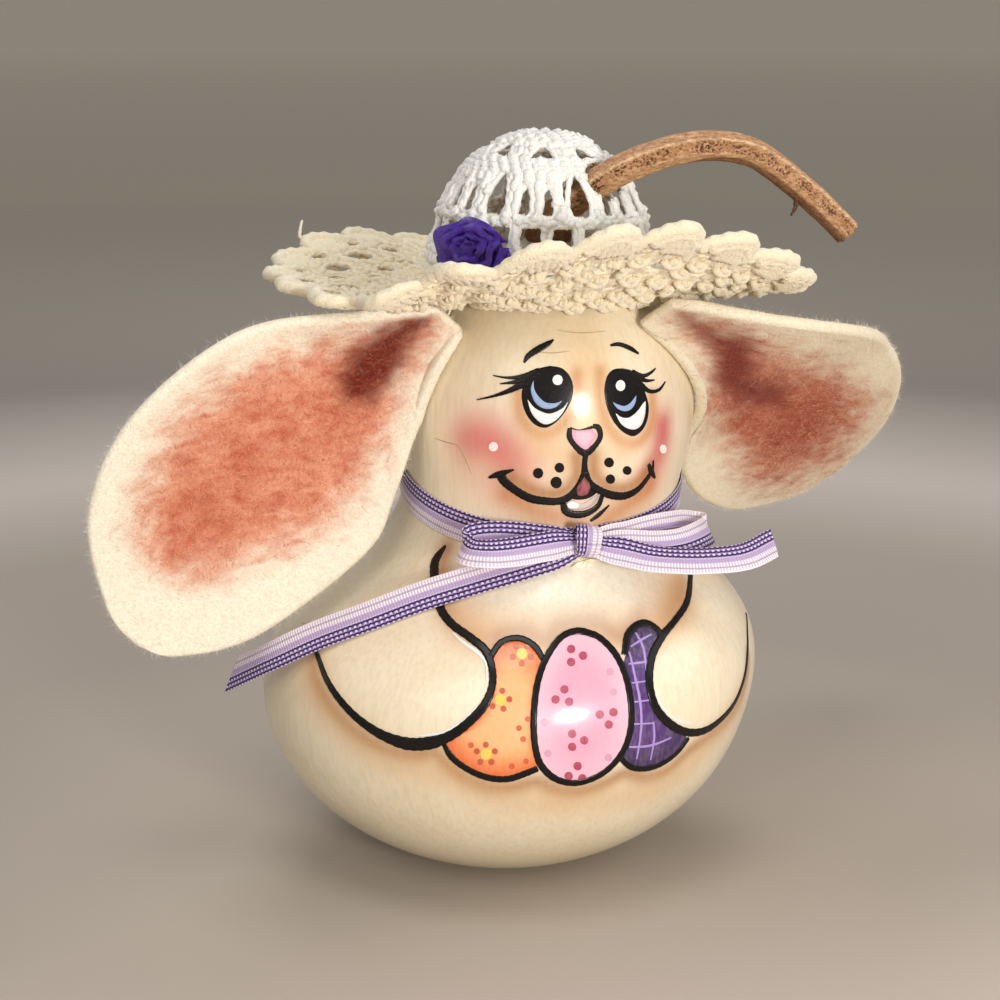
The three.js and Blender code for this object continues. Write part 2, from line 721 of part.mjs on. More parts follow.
const model = new THREE.Group();
const shell = gourdShell();
model.add(shell.piece);
model.add(stem());
model.add(seeds(shell.floorHeight));
model.add(hat());
model.add(rose());
model.add(ear("ear_left", earLeft));
model.add(ear("ear_right", earRight));
model.add(neckRibbon());
model.add(ribbonStrip("bow_loop_left", loopLeftRoute, 0));
model.add(ribbonStrip("bow_loop_right", loopRightRoute, 0));
model.add(ribbonStrip("bow_tail_left", tailLeftRoute, tailSlant));
model.add(ribbonStrip("bow_tail_right", tailRightRoute, tailSlant));
model.add(knot());
model.add(gluePad("bow_glue", 0, bandZ(0), bowGlueWidth, bowGlueHeight, ribbonGap + ribbonThickness + glueGap));
model.add(roseGlue());
for (const [name, shape] of [["ear_glue_left", earLeft], ["ear_glue_right", earRight]]) {
  const height = headHeight + shape.rootRise;
  model.add(gluePad(name, shape.rootAngle, height, earGlueWidth, earGlueHeight, glueGap));
}
for (const [i, angle] of hatGlueAngles.entries()) {
  model.add(gluePad(`hat_glue_${i + 1}`, angle, hatBaseHeight, hatGlueWidth, hatGlueHeight, glueGap));
}

export default model;
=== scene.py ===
# Painted gourd rabbit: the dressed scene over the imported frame.
# Shapes are worked out in millimetres, +Z up, with the rabbit facing -Y, and become metres in the meshes.
# Angles round the gourd are in degrees from -Y towards +X.

import math

import bmesh
import bpy
import numpy as np
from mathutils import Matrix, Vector, noise


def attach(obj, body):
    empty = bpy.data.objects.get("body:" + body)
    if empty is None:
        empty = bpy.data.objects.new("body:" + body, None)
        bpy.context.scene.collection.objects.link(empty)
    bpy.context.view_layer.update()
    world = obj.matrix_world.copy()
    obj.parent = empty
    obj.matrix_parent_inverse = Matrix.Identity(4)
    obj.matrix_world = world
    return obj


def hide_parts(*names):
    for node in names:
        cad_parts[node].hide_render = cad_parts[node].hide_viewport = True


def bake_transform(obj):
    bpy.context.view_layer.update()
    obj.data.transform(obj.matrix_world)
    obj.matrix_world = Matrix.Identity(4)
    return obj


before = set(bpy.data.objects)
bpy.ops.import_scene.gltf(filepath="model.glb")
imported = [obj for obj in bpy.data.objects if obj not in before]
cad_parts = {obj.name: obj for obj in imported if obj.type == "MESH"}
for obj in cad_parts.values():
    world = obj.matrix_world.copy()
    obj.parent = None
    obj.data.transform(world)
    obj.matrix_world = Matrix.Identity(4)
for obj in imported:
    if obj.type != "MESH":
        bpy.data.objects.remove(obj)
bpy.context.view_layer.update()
random = np.random.default_rng(11)

MM = 0.001
FRONT = np.array((0, -1.0, 0))

# Camera that matches the photograph
PHOTO_SIZE = 1000
FOCAL_PIXELS = 2160
SENSOR_MM = 36
CAMERA_TARGET = np.array((-1.0, 0.0, 89.0))
CAMERA_AZIMUTH = -16
CAMERA_ELEVATION = 14
CAMERA_DISTANCE = 540

# Gourd
BULB_RADIUS = 62
BULB_HEIGHT = 46
BASE_FLAT_RADIUS = 22
NECK_RADIUS = 34.5
NECK_HEIGHT = 93
HEAD_RADIUS = 36.5
HEAD_HEIGHT = 113
TOP_HEIGHT = 154
HEAD_SHIFT = 11

# Stem
STEM_ROOT_RADIUS = 5.5
STEM_RADIUS = 3.7
STEM_TIP_RADIUS = 3.2
STEM_STEPS = [(0, 0, 0), (0.5, -4, 5), (4, -12.5, 11), (12, -18.5, 17.5), (22, -20.5, 21.5), (33, -20, 23),
              (45, -19, 21), (57, -18, 13.5), (67, -18.5, 5), (71, -19, 1)]
STEM_RIBS = 7
THORN_SHARE = 0.82

# Hat
CROWN_RADIUS = 27
CROWN_HEIGHT = 37
CROWN_SQUARENESS = 0.9
CROWN_TOP_HOLE = 2.5
CROWN_ROWS = 10
HAT_SHIFT = -2
HAT_SEAT_GAP = 1.9
HAT_BASE_HEIGHT = 142
HAT_THICKNESS = 2.4
HAT_TILT = 2
BRIM_WIDTH = 41
BRIM_ROWS = 5
BRIM_CURVE = 1.25

# How far the brim's edge is turned up: angle, rise
BRIM_RISES = [(-180, 2.5), (-165, 4.5), (-150, 6.5), (-135, 7), (-120, 5), (-105, 2), (-75, 2),
              (-60, 1.5), (-50, 3), (-40, 11), (-30, 12.5), (-20, 17), (-5, 21), (10, 22.5), (25, 21),
              (40, 17), (50, 12), (60, 8), (70, 4), (80, 2), (100, 1.5), (130, 1), (160, 1)]

# Ears
EAR_THICKNESS = 3
EAR_FOLD_DEPTH = 3.5
EAR_FOLD_LENGTH = 22
EAR_FOLD_HALF_WIDTH = 13
EAR_CUP = 5
EAR_GLUE_GAP = 2
EAR_LENGTH = 107
EAR_LEFT = {
    "side": -1, "angle": -72, "height": 135, "droop": 47.5, "sweep": 0, "lean": 2, "curl": -1,
    "wrap": (14, 26), "rise": 1.5,
    "above": [(0, 5.2), (11.5, 17.5), (32, 35), (62, 40.5), (86, 33), (101, 15), (104, 3.3)],
    "below": [(0, -5.2), (12.5, -10.5), (36.5, -20.5), (52.5, -24.5), (84, -18), (100, -6.5), (104, 3.3)]}
EAR_RIGHT = {
    "side": 1, "angle": 71, "height": 132, "droop": 45, "sweep": 33, "lean": -37.5, "curl": -29,
    "wrap": (43, 42), "rise": 7,
    "above": [(0, 5.2), (12.5, 19), (33, 37), (60, 38.5), (87, 29), (102.5, 12.5), (103.5, 1.5)],
    "below": [(0, -5.2), (8, -8), (17.5, -11.5), (34.5, -21), (57, -24), (80.5, -18.5), (98.5, -4.5),
              (103.5, 1.5)]}
EAR_HEAD_GAP = 0.4

# Ribbon
RIBBON_WIDTH = 7
RIBBON_THICKNESS = 0.5
RIBBON_GAP = 0.4
BAND_HEIGHT = 94.5
BAND_TILT = 7.8
KNOT_WIDTH = 6.5
KNOT_HEIGHT = 7.5
KNOT_DEPTH = 4.5
KNOT_GAP = 2.4
PINCH = 0.3
PINCH_LENGTH = 9
TAIL_STAND_OFF = 1.5

# Routes of the bow's stretches: angle, height from the knot, distance from the gourd
LOOP_LEFT = [(-6.2, 0.3, 3), (-14, 0.7, 3), (-23, 1.4, 3.6), (-32, 1.4, 5.2), (-37.5, 0, 7.4),
             (-38.5, -2.9, 9.6), (-35, -5.7, 11.2), (-29.5, -5.9, 11), (-24, -4.4, 9.4),
             (-15, -1.7, 6.6), (-6.2, -0.4, 4.4)]
LOOP_RIGHT = [(6.2, 0, 3), (16, 0, 3), (26, 0.5, 3.8), (36, 0, 5.2), (44, -1.4, 6.2), (48.6, -3.8, 7.8),
              (48.6, -6.2, 10), (40, -7.2, 11.6), (32, -7, 10.6), (24.5, -5.3, 8.6), (15, -2.7, 6.2),
              (6.2, -1.4, 4.4)]
TAIL_LEFT = [(-6.2, -2.4, 2), (-19, -5.3, 1.5), (-33, -8.7, 1.2), (-48, -13.4, 1.2), (-60, -18.8, 1.2),
             (-71, -24.7, 1.6), (-80, -31.2, 3.4), (-92, -38.6, 7.4)]
TAIL_RIGHT = [(6.2, -3, 5.8), (12.5, -5.5, 7.6), (19, -9.1, 9.8), (26.5, -12.1, 12), (33, -14.7, 14.8),
              (40.5, -17.2, 18.6), (49.5, -18.1, 22)]

# Ribbon rose
ROSE_ANGLE = -49
ROSE_HEIGHT = 11.5
ROSE_WIDTH = 19
ROSE_RISE = 13
ROSE_GAP = 1.3


# Small mathematics

def ease(x, low, high):
    t = np.clip((np.asarray(x, float) - low) / (high - low), 0, 1)
    return t * t * (3 - 2 * t)


def unit(vectors):
    vectors = np.asarray(vectors, float)
    return vectors / np.maximum(np.linalg.norm(vectors, axis=-1, keepdims=True), 1e-9)


def linear(red, green, blue):
    """A colour as a screen shows it, 0 to 255, as the renderer's linear values."""
    values = np.array((red, green, blue), float) / 255
    return np.where(values <= 0.04045, values / 12.92, ((values + 0.055) / 1.055) ** 2.4)


def blended(base, tone, weight):
    """Two colours mixed, with the tone's share from 0 to 1 at each place."""
    weight = np.asarray(weight)[..., None]
    return base * (1 - weight) + tone * weight


def turns_round(count):
    """Evenly spaced turns round a circle, in radians."""
    return np.arange(count) / count * 2 * np.pi


def half_turned(angle):
    """Angles in degrees brought between -180 and 180."""
    return np.mod(angle + 180, 360) - 180


def spline(points, count, power=0.25):
    """Evenly counted points on a Catmull-Rom curve, centripetal unless power is 0."""
    points = np.asarray(points, float)
    padded = np.vstack([2 * points[0] - points[1], points, 2 * points[-1] - points[-2]])
    place = np.linspace(0, len(points) - 1, count)
    index = np.minimum(place.astype(int), len(points) - 2)
    t = (place - index)[:, None]
    p0, p1, p2, p3 = (padded[index + k] for k in range(4))
    d0, d1, d2 = (np.maximum(((b - a) ** 2).sum(1, keepdims=True), 1e-9) ** power
                  for a, b in ((p0, p1), (p1, p2), (p2, p3)))
    m1 = ((p1 - p0) / d0 - (p2 - p0) / (d0 + d1) + (p2 - p1) / d1) * d1
    m2 = ((p2 - p1) / d1 - (p3 - p1) / (d1 + d2) + (p3 - p2) / d2) * d1
    return p1 + m1 * t + (-3 * p1 + 3 * p2 - 2 * m1 - m2) * t**2 + (2 * p1 - 2 * p2 + m1 + m2) * t**3


def length_along(path):
    return np.concatenate([[0], np.cumsum(np.linalg.norm(np.diff(path, axis=0), axis=1))])


def respaced(path, count):
    """The same line with its points at even distances."""
    length = length_along(path)
    at = np.linspace(0, length[-1], count)
    return np.stack([np.interp(at, length, path[:, k]) for k in range(path.shape[1])], -1)


def directions_along(path, closed=False):
    return unit(np.roll(path, -1, 0) - np.roll(path, 1, 0) if closed else np.gradient(path, axis=0))


def rough(points, scale, seed):
    """Smooth noise from -1 to 1 at points in millimetres, with features of about that scale."""
    shift = Vector((seed * 17.3, seed * 5.1, seed * 9.7))
    return np.array([noise.noise(Vector(p) / scale + shift) for p in np.asarray(points).reshape(-1, 3)])


def within(x, y, outline):
    """Which places lie inside a closed outline."""
    found = np.zeros(np.shape(x), bool)
    for (x0, y0), (x1, y1) in zip(outline, np.roll(outline, -1, 0)):
        crosses = (y0 > y) != (y1 > y)
        found ^= crosses & (x < (x1 - x0) * (y - y0) / ((y1 - y0) or 1e-9) + x0)
    return found


def direction(azimuth, elevation):
    """The direction to a place round the object, from degrees round from -Y and degrees up."""
    turn, rise = math.radians(azimuth), math.radians(elevation)
    return np.array((math.sin(turn) * math.cos(rise), -math.cos(turn) * math.cos(rise), math.sin(rise)))


# The gourd's form

def shoulder_share(t):
    """Share of the shoulder's width left at t, from the bulb (0) to the neck (1)."""
    low, high = 0.0, 1.0
    for _ in range(24):
        middle = (low + high) / 2
        y = 3 * (1 - middle) ** 2 * middle * 0.52 + 3 * (1 - middle) * middle**2 * 0.55 + middle**3
        low, high = (middle, high) if y < t else (low, middle)
    return (1 - low) ** 3 + 3 * (1 - low) ** 2 * low


def profile_radius(z):
    if z <= BULB_HEIGHT:
        drop = BULB_HEIGHT / math.sqrt(1 - (BASE_FLAT_RADIUS / BULB_RADIUS) ** 2)
        return BULB_RADIUS * math.sqrt(max(0, 1 - ((BULB_HEIGHT - z) / drop) ** 2))
    if z <= NECK_HEIGHT:
        share = shoulder_share((z - BULB_HEIGHT) / (NECK_HEIGHT - BULB_HEIGHT))
        return NECK_RADIUS + (BULB_RADIUS - NECK_RADIUS) * share
    if z <= HEAD_HEIGHT:
        return NECK_RADIUS + (HEAD_RADIUS - NECK_RADIUS) * float(ease(z, NECK_HEIGHT, HEAD_HEIGHT))
    return HEAD_RADIUS * math.sqrt(max(0, 1 - ((z - HEAD_HEIGHT) / (TOP_HEIGHT - HEAD_HEIGHT)) ** 2))


PROFILE_HEIGHTS = np.linspace(0, TOP_HEIGHT, 3081)
PROFILE_RADII = np.array([profile_radius(z) for z in PROFILE_HEIGHTS])


def gourd_radius(z):
    return np.interp(z, PROFILE_HEIGHTS, PROFILE_RADII)


def axis_shift(z):
    return HEAD_SHIFT * ease(z, BULB_HEIGHT * 0.6, HEAD_HEIGHT)


def gourd_point(angle, z, distance=0.0):
    """Points at angles and heights, away from the gourd's skin by a distance."""
    turn = np.radians(angle)
    slope = gourd_radius(z + 0.5) - gourd_radius(z - 0.5)
    length = np.hypot(1, slope)
    radius = gourd_radius(z) + distance / length
    return np.stack([axis_shift(z) + radius * np.sin(turn), -radius * np.cos(turn),
                     z - distance * slope / length], -1)


def skin_up(angle, z):
    return unit(gourd_point(angle, z + 1) - gourd_point(angle, z - 1))


def keep_off_gourd(points, distance):
    """Moves points straight out from the gourd's axis until they are clear of the skin."""
    points = np.array(points, float)
    z = np.clip(points[..., 2], 0, TOP_HEIGHT)
    least = np.where(points[..., 2] > TOP_HEIGHT, 0, gourd_radius(z) + distance)
    dx = points[..., 0] - axis_shift(z)
    away = np.maximum(np.hypot(dx, points[..., 1]), 1e-6)
    grow = np.maximum(1, least / away)
    points[..., 0] = axis_shift(z) + dx * grow
    points[..., 1] *= grow
    return points


# The camera, and the place on the gourd that a pixel of the photograph shows

def camera_axes():
    azimuth = math.radians(CAMERA_AZIMUTH)
    right = np.array((math.cos(azimuth), math.sin(azimuth), 0))
    back = direction(CAMERA_AZIMUTH, CAMERA_ELEVATION)
    return right, np.cross(back, right), back


def camera_place():
    return CAMERA_TARGET + camera_axes()[2] * CAMERA_DISTANCE


def skin_at(pixel):
    """The angle and height where the ray through a pixel of the photograph meets the gourd."""
    right, up, back = camera_axes()
    half = PHOTO_SIZE / 2
    ray = unit(right * (pixel[0] - half) / FOCAL_PIXELS + up * (half - pixel[1]) / FOCAL_PIXELS - back)
    place = camera_place() + ray * (CAMERA_DISTANCE - 2 * BULB_RADIUS)
    for _ in range(160):
        z = min(max(place[2], 0), TOP_HEIGHT)
        gap = math.hypot(place[0] - axis_shift(z), place[1]) - gourd_radius(z)
        if gap < 0.01:
            break
        place = place + ray * max(gap * 0.7, 0.02)
    return math.degrees(math.atan2(place[0] - axis_shift(z), -place[1])), z


def pixels_of(points):
    """The pixels of the photograph at which points in millimetres show."""
    right, up, back = camera_axes()
    offset = np.asarray(points, float) - camera_place()
    depth = -(offset @ back)
    half = PHOTO_SIZE / 2
    return np.stack([half + FOCAL_PIXELS * (offset @ right) / depth,
                     half - FOCAL_PIXELS * (offset @ up) / depth], -1)


def aim(item, place, target):
    """Puts a camera or a lamp at a place in millimetres, turned to a target."""
    bpy.context.collection.objects.link(item)
    item.location = Vector(place) * MM
    item.rotation_euler = Vector(target - place).to_track_quat("-Z", "Y").to_euler()


def add_camera():
    data = bpy.data.cameras.new("camera")
    data.sensor_width = SENSOR_MM
    data.lens = SENSOR_MM * FOCAL_PIXELS / PHOTO_SIZE
    data.clip_start = 0.01
    camera = bpy.data.objects.new("camera", data)
    aim(camera, camera_place(), CAMERA_TARGET)
    bpy.context.scene.camera = camera


# Meshes

def grid_faces(rows, columns, wraps=False):
    across = columns if wraps else columns - 1
    r, c = np.meshgrid(np.arange(rows - 1), np.arange(across), indexing="ij")
    a = r * columns + c
    b = r * columns + (c + 1) % columns
    return np.stack([a, b, b + columns, a + columns], -1).reshape(-1, 4)


def tube_faces(rows, sides, closed=False):
    """Faces of a tube of rings, joined end to end when closed and capped at both ends when not."""
    faces = grid_faces(rows, sides, wraps=True).tolist()
    last = (rows - 1) * sides
    if closed:
        return faces + [[last + k, last + (k + 1) % sides, (k + 1) % sides, k] for k in range(sides)]
    return faces + [list(range(sides))[::-1], [last + k for k in range(sides)]]


def ring_points(path, across, up, radius, turn):
    """Rings of points round a path, from the two directions that cross it."""
    return (path[:, None] + across[:, None] * (radius * np.cos(turn))[..., None]
            + up[:, None] * (radius * np.sin(turn))[..., None])


def read(collection, key, width, kind=float):
    """One property of everything in a mesh's collection, as rows of so many numbers."""
    values = np.zeros(len(collection) * width, kind)
    collection.foreach_get(key, values)
    return values.reshape(-1, width)


def new_piece(name, points, faces, material, colors=None, uv=None):
    """A new object from points in millimetres, with a colour and a texture place for each point."""
    mesh = bpy.data.meshes.new(name)
    faces = [list(map(int, face)) for face in faces]
    mesh.from_pydata((np.asarray(points, float).reshape(-1, 3) * MM).tolist(), [], faces)
    if uv is not None:
        corner = read(mesh.loops, "vertex_index", 1, int)[:, 0]
        mesh.uv_layers.new(name="UVMap").data.foreach_set("uv", np.asarray(uv, np.float32)[corner].ravel())
    if colors is not None:
        opaque = np.concatenate([colors, np.ones((len(colors), 1))], 1)
        paint = mesh.attributes.new("paint", "FLOAT_COLOR", "POINT")
        paint.data.foreach_set("color", opaque.astype(np.float32).ravel())
    mesh.materials.append(material)
    mesh.shade_smooth()
    piece = bpy.data.objects.new(name, mesh)
    bpy.context.collection.objects.link(piece)
    return piece


class Pile:
    """Many small bodies gathered into one piece."""

    def __init__(self):
        self.points, self.faces, self.colors, self.count = [], [], [], 0

    def add(self, points, faces, color):
        points = np.asarray(points, float).reshape(-1, 3)
        self.points.append(points)
        self.faces.extend([[int(i) + self.count for i in face] for face in faces])
        self.colors.append(np.broadcast_to(np.asarray(color, float), (len(points), 3)))
        self.count += len(points)

    def piece(self, name, material):
        return new_piece(name, np.concatenate(self.points), self.faces, material,
                         np.concatenate(self.colors))


def outward(piece):
    """Turns a closed mesh's faces to point out and merges its doubled points."""
    work = bmesh.new()
    work.from_mesh(piece.data)
    bmesh.ops.remove_doubles(work, verts=work.verts, dist=1e-6)
    bmesh.ops.recalc_face_normals(work, faces=work.faces)
    work.to_mesh(piece.data)
    work.free()


def tube(path, up, radius, sides, closed=False, pitch=None, depth=0.2):
    """Points and faces of a tube along a path, wavy like two-ply yarn where a pitch is given."""
    tangent = directions_along(path, closed)
    side = unit(np.cross(tangent, np.broadcast_to(up, path.shape)))
    turn = turns_round(sides)[None]
    radius = np.broadcast_to(radius, (len(path),))[:, None]
    if pitch:
        lay = 2 * np.pi * length_along(path)[:, None] / pitch
        radius = radius * (1 + depth * np.cos(2 * turn - lay))
    points = ring_points(path, side, np.cross(side, tangent), radius, turn)
    return points.reshape(-1, 3), tube_faces(len(path), sides, closed)


def finish_piece(piece, body):
    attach(piece, body)


# Materials

class Shader:
    """A material with short calls for its nodes."""

    def __init__(self, name, **sockets):
        self.material = bpy.data.materials.new(name)
        self.material.use_nodes = True
        self.tree = self.material.node_tree
        self.surface = self.tree.nodes["Principled BSDF"]
        for socket, value in sockets.items():
            self.surface.inputs[socket.replace("_", " ")].default_value = value

    def node(self, kind, settings=None, **inputs):
        node = self.tree.nodes.new("ShaderNode" + kind)
        for key, value in (settings or {}).items():
            setattr(node, key, value)
        for key, value in inputs.items():
            self.feed(node.inputs[int(key[1:]) if key[0] == "_" else key.replace("_", " ")], value)
        return node

    def feed(self, socket, value):
        """Links a socket to another, or gives it a value."""
        if isinstance(value, bpy.types.NodeSocket):
            self.tree.links.new(value, socket)
        else:
            socket.default_value = value

    def to(self, socket, value):
        self.tree.links.new(value, self.surface.inputs[socket])

    def math(self, operation, a, b=0.0, c=0.0):
        return self.node("Math", {"operation": operation}, _0=a, _1=b, _2=c).outputs[0]

    def mix(self, factor, a, b, blend="MIX"):
        node = self.node("Mix", {"data_type": "RGBA", "blend_type": blend}, _0=factor)
        for number, value in ((6, a), (7, b)):
            self.feed(node.inputs[number], value if isinstance(value, bpy.types.NodeSocket) else (*value, 1))
        return node.outputs[2]

    def ramp(self, factor, *stops):
        node = self.node("ValToRGB", Fac=factor)
        elements = node.color_ramp.elements
        while len(elements) < len(stops):
            elements.new(0.5)
        for element, (position, color) in zip(elements, stops):
            element.position = position
            element.color = (color,) * 3 + (1,) if np.isscalar(color) else (*color, 1)
        return node.outputs[0]

    def place(self, scale=(1, 1, 1)):
        """Texture places in millimetres on the object, stretched by scale."""
        coordinates = self.node("TexCoord").outputs["Object"]
        return self.node("Mapping", Vector=coordinates, Scale=[s / MM for s in scale]).outputs[0]

    def noise(self, scale, detail=3.0, place=None, roughness=0.55):
        place = place or self.place()
        return self.node("TexNoise", Vector=place, Scale=scale, Detail=detail,
                         Roughness=roughness).outputs[0]

    def cells(self, scale, place):
        """Distance from the edges of small cells, which stand for matted threads."""
        cells = self.node("TexVoronoi", {"feature": "DISTANCE_TO_EDGE"}, Vector=place, Scale=scale)
        return cells.outputs["Distance"]

    def attribute(self):
        return self.node("Attribute", {"attribute_name": "paint"}).outputs["Color"]

    def bump(self, height, depth, strength):
        """Relief of so many millimetres from a height of 0 to 1."""
        self.to("Normal", self.node("Bump", Height=height, Distance=depth * MM,
                                    Strength=strength).outputs[0])


def painted_gourd_material():
    """Cream acrylic with brush marks, worn grain and clear varnish."""
    s = Shader("painted_gourd", Coat_Weight=0.55, Coat_Roughness=0.16, Specular_IOR_Level=0.4)
    brushed = s.noise(0.9, 5, s.place((1, 1, 0.12)))
    blotches = s.noise(0.07, 4)
    fine = s.noise(2.6, 4)
    color = s.mix(s.ramp(blotches, (0.35, 0.0), (0.7, 0.35)), s.attribute(), linear(240, 228, 204),
                  "MULTIPLY")
    color = s.mix(s.ramp(brushed, (0.42, 0.0), (0.75, 0.3)), color, linear(200, 182, 146))
    specks = s.node("TexVoronoi", Vector=s.place(), Scale=0.16).outputs["Distance"]
    color = s.mix(s.ramp(specks, (0.0, 0.75), (0.035, 0.0)), color, linear(140, 118, 84))
    s.to("Base Color", color)
    s.to("Roughness", s.ramp(fine, (0.3, 0.28), (0.7, 0.5)))
    relief = s.math("MULTIPLY_ADD", brushed, 0.7, s.math("MULTIPLY", fine, 0.3))
    s.bump(relief, 0.14, 0.85)
    return s.material


def paint_material():
    """Brushed acrylic under the varnish, coloured by the points."""
    s = Shader("colour_paint", Coat_Weight=0.5, Coat_Roughness=0.14)
    streaks = s.noise(1.2, 4, s.place((1, 1, 0.3)))
    s.to("Base Color", s.mix(s.ramp(streaks, (0.4, 0.0), (0.8, 0.16)), s.attribute(), linear(225, 205, 190)))
    s.to("Roughness", s.ramp(streaks, (0.3, 0.3), (0.8, 0.45)))
    s.bump(streaks, 0.05, 0.7)
    return s.material


def black_paint_material():
    s = Shader("black_paint", Coat_Weight=0.3, Coat_Roughness=0.14, Specular_IOR_Level=0.15)
    streaks = s.noise(1.5, 4)
    s.to("Base Color", s.ramp(streaks, (0.3, linear(9, 6, 5)), (0.8, linear(24, 17, 14))))
    s.to("Roughness", s.ramp(streaks, (0.3, 0.32), (0.8, 0.5)))
    s.bump(streaks, 0.06, 0.8)
    return s.material


def felt_material():
    """Thick felt: matted fibres, chalk rubbed into them."""
    s = Shader("wool_felt", Roughness=0.95, Specular_IOR_Level=0.08, Sheen_Weight=0.06, Sheen_Roughness=0.6)
    place = s.place()
    drift = s.node("TexNoise", Vector=place, Scale=0.35, Detail=3.0).outputs["Color"]
    warped = s.node("VectorMath", {"operation": "ADD"}, _0=place, _1=drift).outputs[0]
    matted = s.noise(1.1, 6, warped, 0.7)
    fibres = s.cells(1.3, warped)
    dark = s.mix(0.5, s.attribute(), linear(196, 150, 120), "MULTIPLY")
    color = s.mix(s.ramp(matted, (0.38, 0.4), (0.54, 0.0)), s.attribute(), dark)
    color = s.mix(s.ramp(matted, (0.5, 0.0), (0.8, 0.12)), color, linear(255, 246, 228))
    s.to("Base Color", color)
    s.bump(s.math("MULTIPLY_ADD", fibres, 0.6, matted), 0.5, 0.75)
    return s.material


def fuzz_material(name):
    s = Shader(name, Roughness=0.9, Specular_IOR_Level=0.15)
    s.to("Base Color", s.mix(s.ramp(s.noise(0.5), (0.3, 0.0), (0.8, 0.12)), s.attribute(),
                             linear(255, 250, 238)))
    return s.material


def yarn_material():
    """Soft cotton thread with loose fibres on it."""
    s = Shader("crochet_cotton", Roughness=0.9, Specular_IOR_Level=0.15, Sheen_Weight=0.5,
               Sheen_Roughness=0.5)
    place = s.place()
    fluff = s.noise(1.8, 6, place, 0.7)
    strands = s.cells(1.1, place)
    shade = s.mix(0.6, s.attribute(), linear(206, 170, 118), "MULTIPLY")
    s.to("Base Color", s.mix(s.ramp(fluff, (0.35, 0.3), (0.55, 0.0)), s.attribute(), shade))
    s.bump(s.math("MULTIPLY_ADD", strands, 0.8, fluff), 0.45, 0.8)
    return s.material


def ribbon_material():
    """Woven ribbon: dark wavy lines over checks, a lilac band, and pale cross ribs to the other edge."""
    s = Shader("striped_ribbon", Roughness=0.62, Specular_IOR_Level=0.3, Sheen_Weight=0.2,
               Sheen_Roughness=0.4)
    along, across, _ = s.node("SeparateXYZ", Vector=s.node("TexCoord").outputs["UV"]).outputs

    def waves(place, count):
        return s.math("SINE", s.math("MULTIPLY", place, 2 * math.pi * count))

    def line(place, centre, half_width, soft=0.012):
        away = s.math("ABSOLUTE", s.math("SUBTRACT", place, centre))
        return s.node("MapRange", {"interpolation_type": "SMOOTHSTEP"}, Value=away,
                      From_Min=half_width - soft, From_Max=half_width + soft, To_Min=1.0,
                      To_Max=0.0).outputs[0]

    rib, wave = waves(along, 9.5), waves(along, 5.2)
    wavy = s.math("MULTIPLY_ADD", wave, 0.014, across)
    pale, white = linear(212, 194, 210), linear(246, 236, 240)
    ribs = s.ramp(s.math("MULTIPLY_ADD", rib, 0.5, 0.5), (0.25, pale), (0.7, white))
    color = s.mix(line(across, 0.47, 0.09, 0.03), ribs, linear(186, 163, 202))
    color = s.mix(line(across, 0.2, 0.03), color, linear(186, 168, 190))
    checks = s.mix(s.math("GREATER_THAN", wave, 0.0), linear(146, 120, 174), linear(222, 208, 226))
    color = s.mix(line(across, 0.79, 0.21), color, checks)
    for centre in (0.635, 0.785, 0.935):
        color = s.mix(line(wavy, centre, 0.036), color, linear(54, 28, 94))
    color = s.mix(line(across, 0.0, 0.04), color, linear(250, 234, 238))
    s.to("Base Color", color)
    s.bump(s.math("MULTIPLY_ADD", waves(across, 13), 0.25, s.math("MULTIPLY", rib, 0.5)), 0.14, 0.7)
    return s.material


def satin_material():
    s = Shader("satin_ribbon", Roughness=0.26, Specular_IOR_Level=0.75, Anisotropic=0.5, Sheen_Weight=0.1,
               Sheen_Roughness=0.3)
    crumples_and_sheen = s.noise(0.8, 4)
    # Violet that follows the crumples, lighter on some as painted sheen
    s.to("Base Color", s.ramp(crumples_and_sheen, (0.3, linear(44, 10, 120)), (0.7, linear(84, 30, 178))))
    threads = s.node("TexWave", Vector=s.place(), Scale=2.2, Distortion=0.6).outputs["Fac"]
    s.bump(s.math("MULTIPLY_ADD", threads, 0.1, crumples_and_sheen), 0.8, 0.8)
    return s.material


def bark_material():
    """Dry ribbed stem: lengthwise fibres and dark pits, coloured by the points."""
    s = Shader("dried_stem", Roughness=0.85, Specular_IOR_Level=0.2)
    fibres = s.noise(1.6, 6, s.place((0.35, 1, 1)), 0.7)
    grain = s.noise(5, 3)
    color = s.mix(s.ramp(fibres, (0.4, 0.6), (0.6, 0.0)), s.attribute(), linear(122, 80, 46), "MULTIPLY")
    s.to("Base Color", s.mix(s.ramp(grain, (0.5, 0.0), (0.75, 0.3)), color, linear(226, 184, 140)))
    s.bump(s.math("MULTIPLY_ADD", grain, 0.3, fibres), 0.35, 0.9)
    return s.material


def husk_material():
    s = Shader("gourd_seed", Roughness=0.8, Specular_IOR_Level=0.2)
    grain = s.noise(0.9, 5, s.place((0.4, 0.4, 1)))
    s.to("Base Color", s.ramp(grain, (0.3, linear(178, 150, 104)), (0.75, linear(222, 200, 156))))
    s.bump(grain, 0.2, 0.7)
    return s.material


def glue_material():
    s = Shader("clear_glue", Roughness=0.3, Coat_Weight=0.3, Coat_Roughness=0.15)
    cloud = s.noise(0.6, 3)
    s.to("Base Color", s.ramp(cloud, (0.3, linear(238, 226, 188)), (0.75, linear(252, 245, 220))))
    s.bump(cloud, 0.3, 0.6)
    return s.material


# Painted light and shade on the pale ground: its tones at distances from the middle, in millimetres, and in
# front between two places on Y, darker in bands as painted shade and lighter far off and in front as painted
# light
FLOOR_REACH = 6000
FLOOR_FRONT = (-30.0, -130.0)
FLOOR_FRONT_PAINTED_LIGHT = (204, 191, 178)
FLOOR_LIGHT_AND_SHADE_TONES = [(90, (178, 167, 154)), (190, (164, 153, 141)), (310, (166, 155, 144)), (430, (196, 185, 176)),
               (640, (142, 132, 123)), (1600, (196, 185, 165)), (5200, (222, 211, 188))]


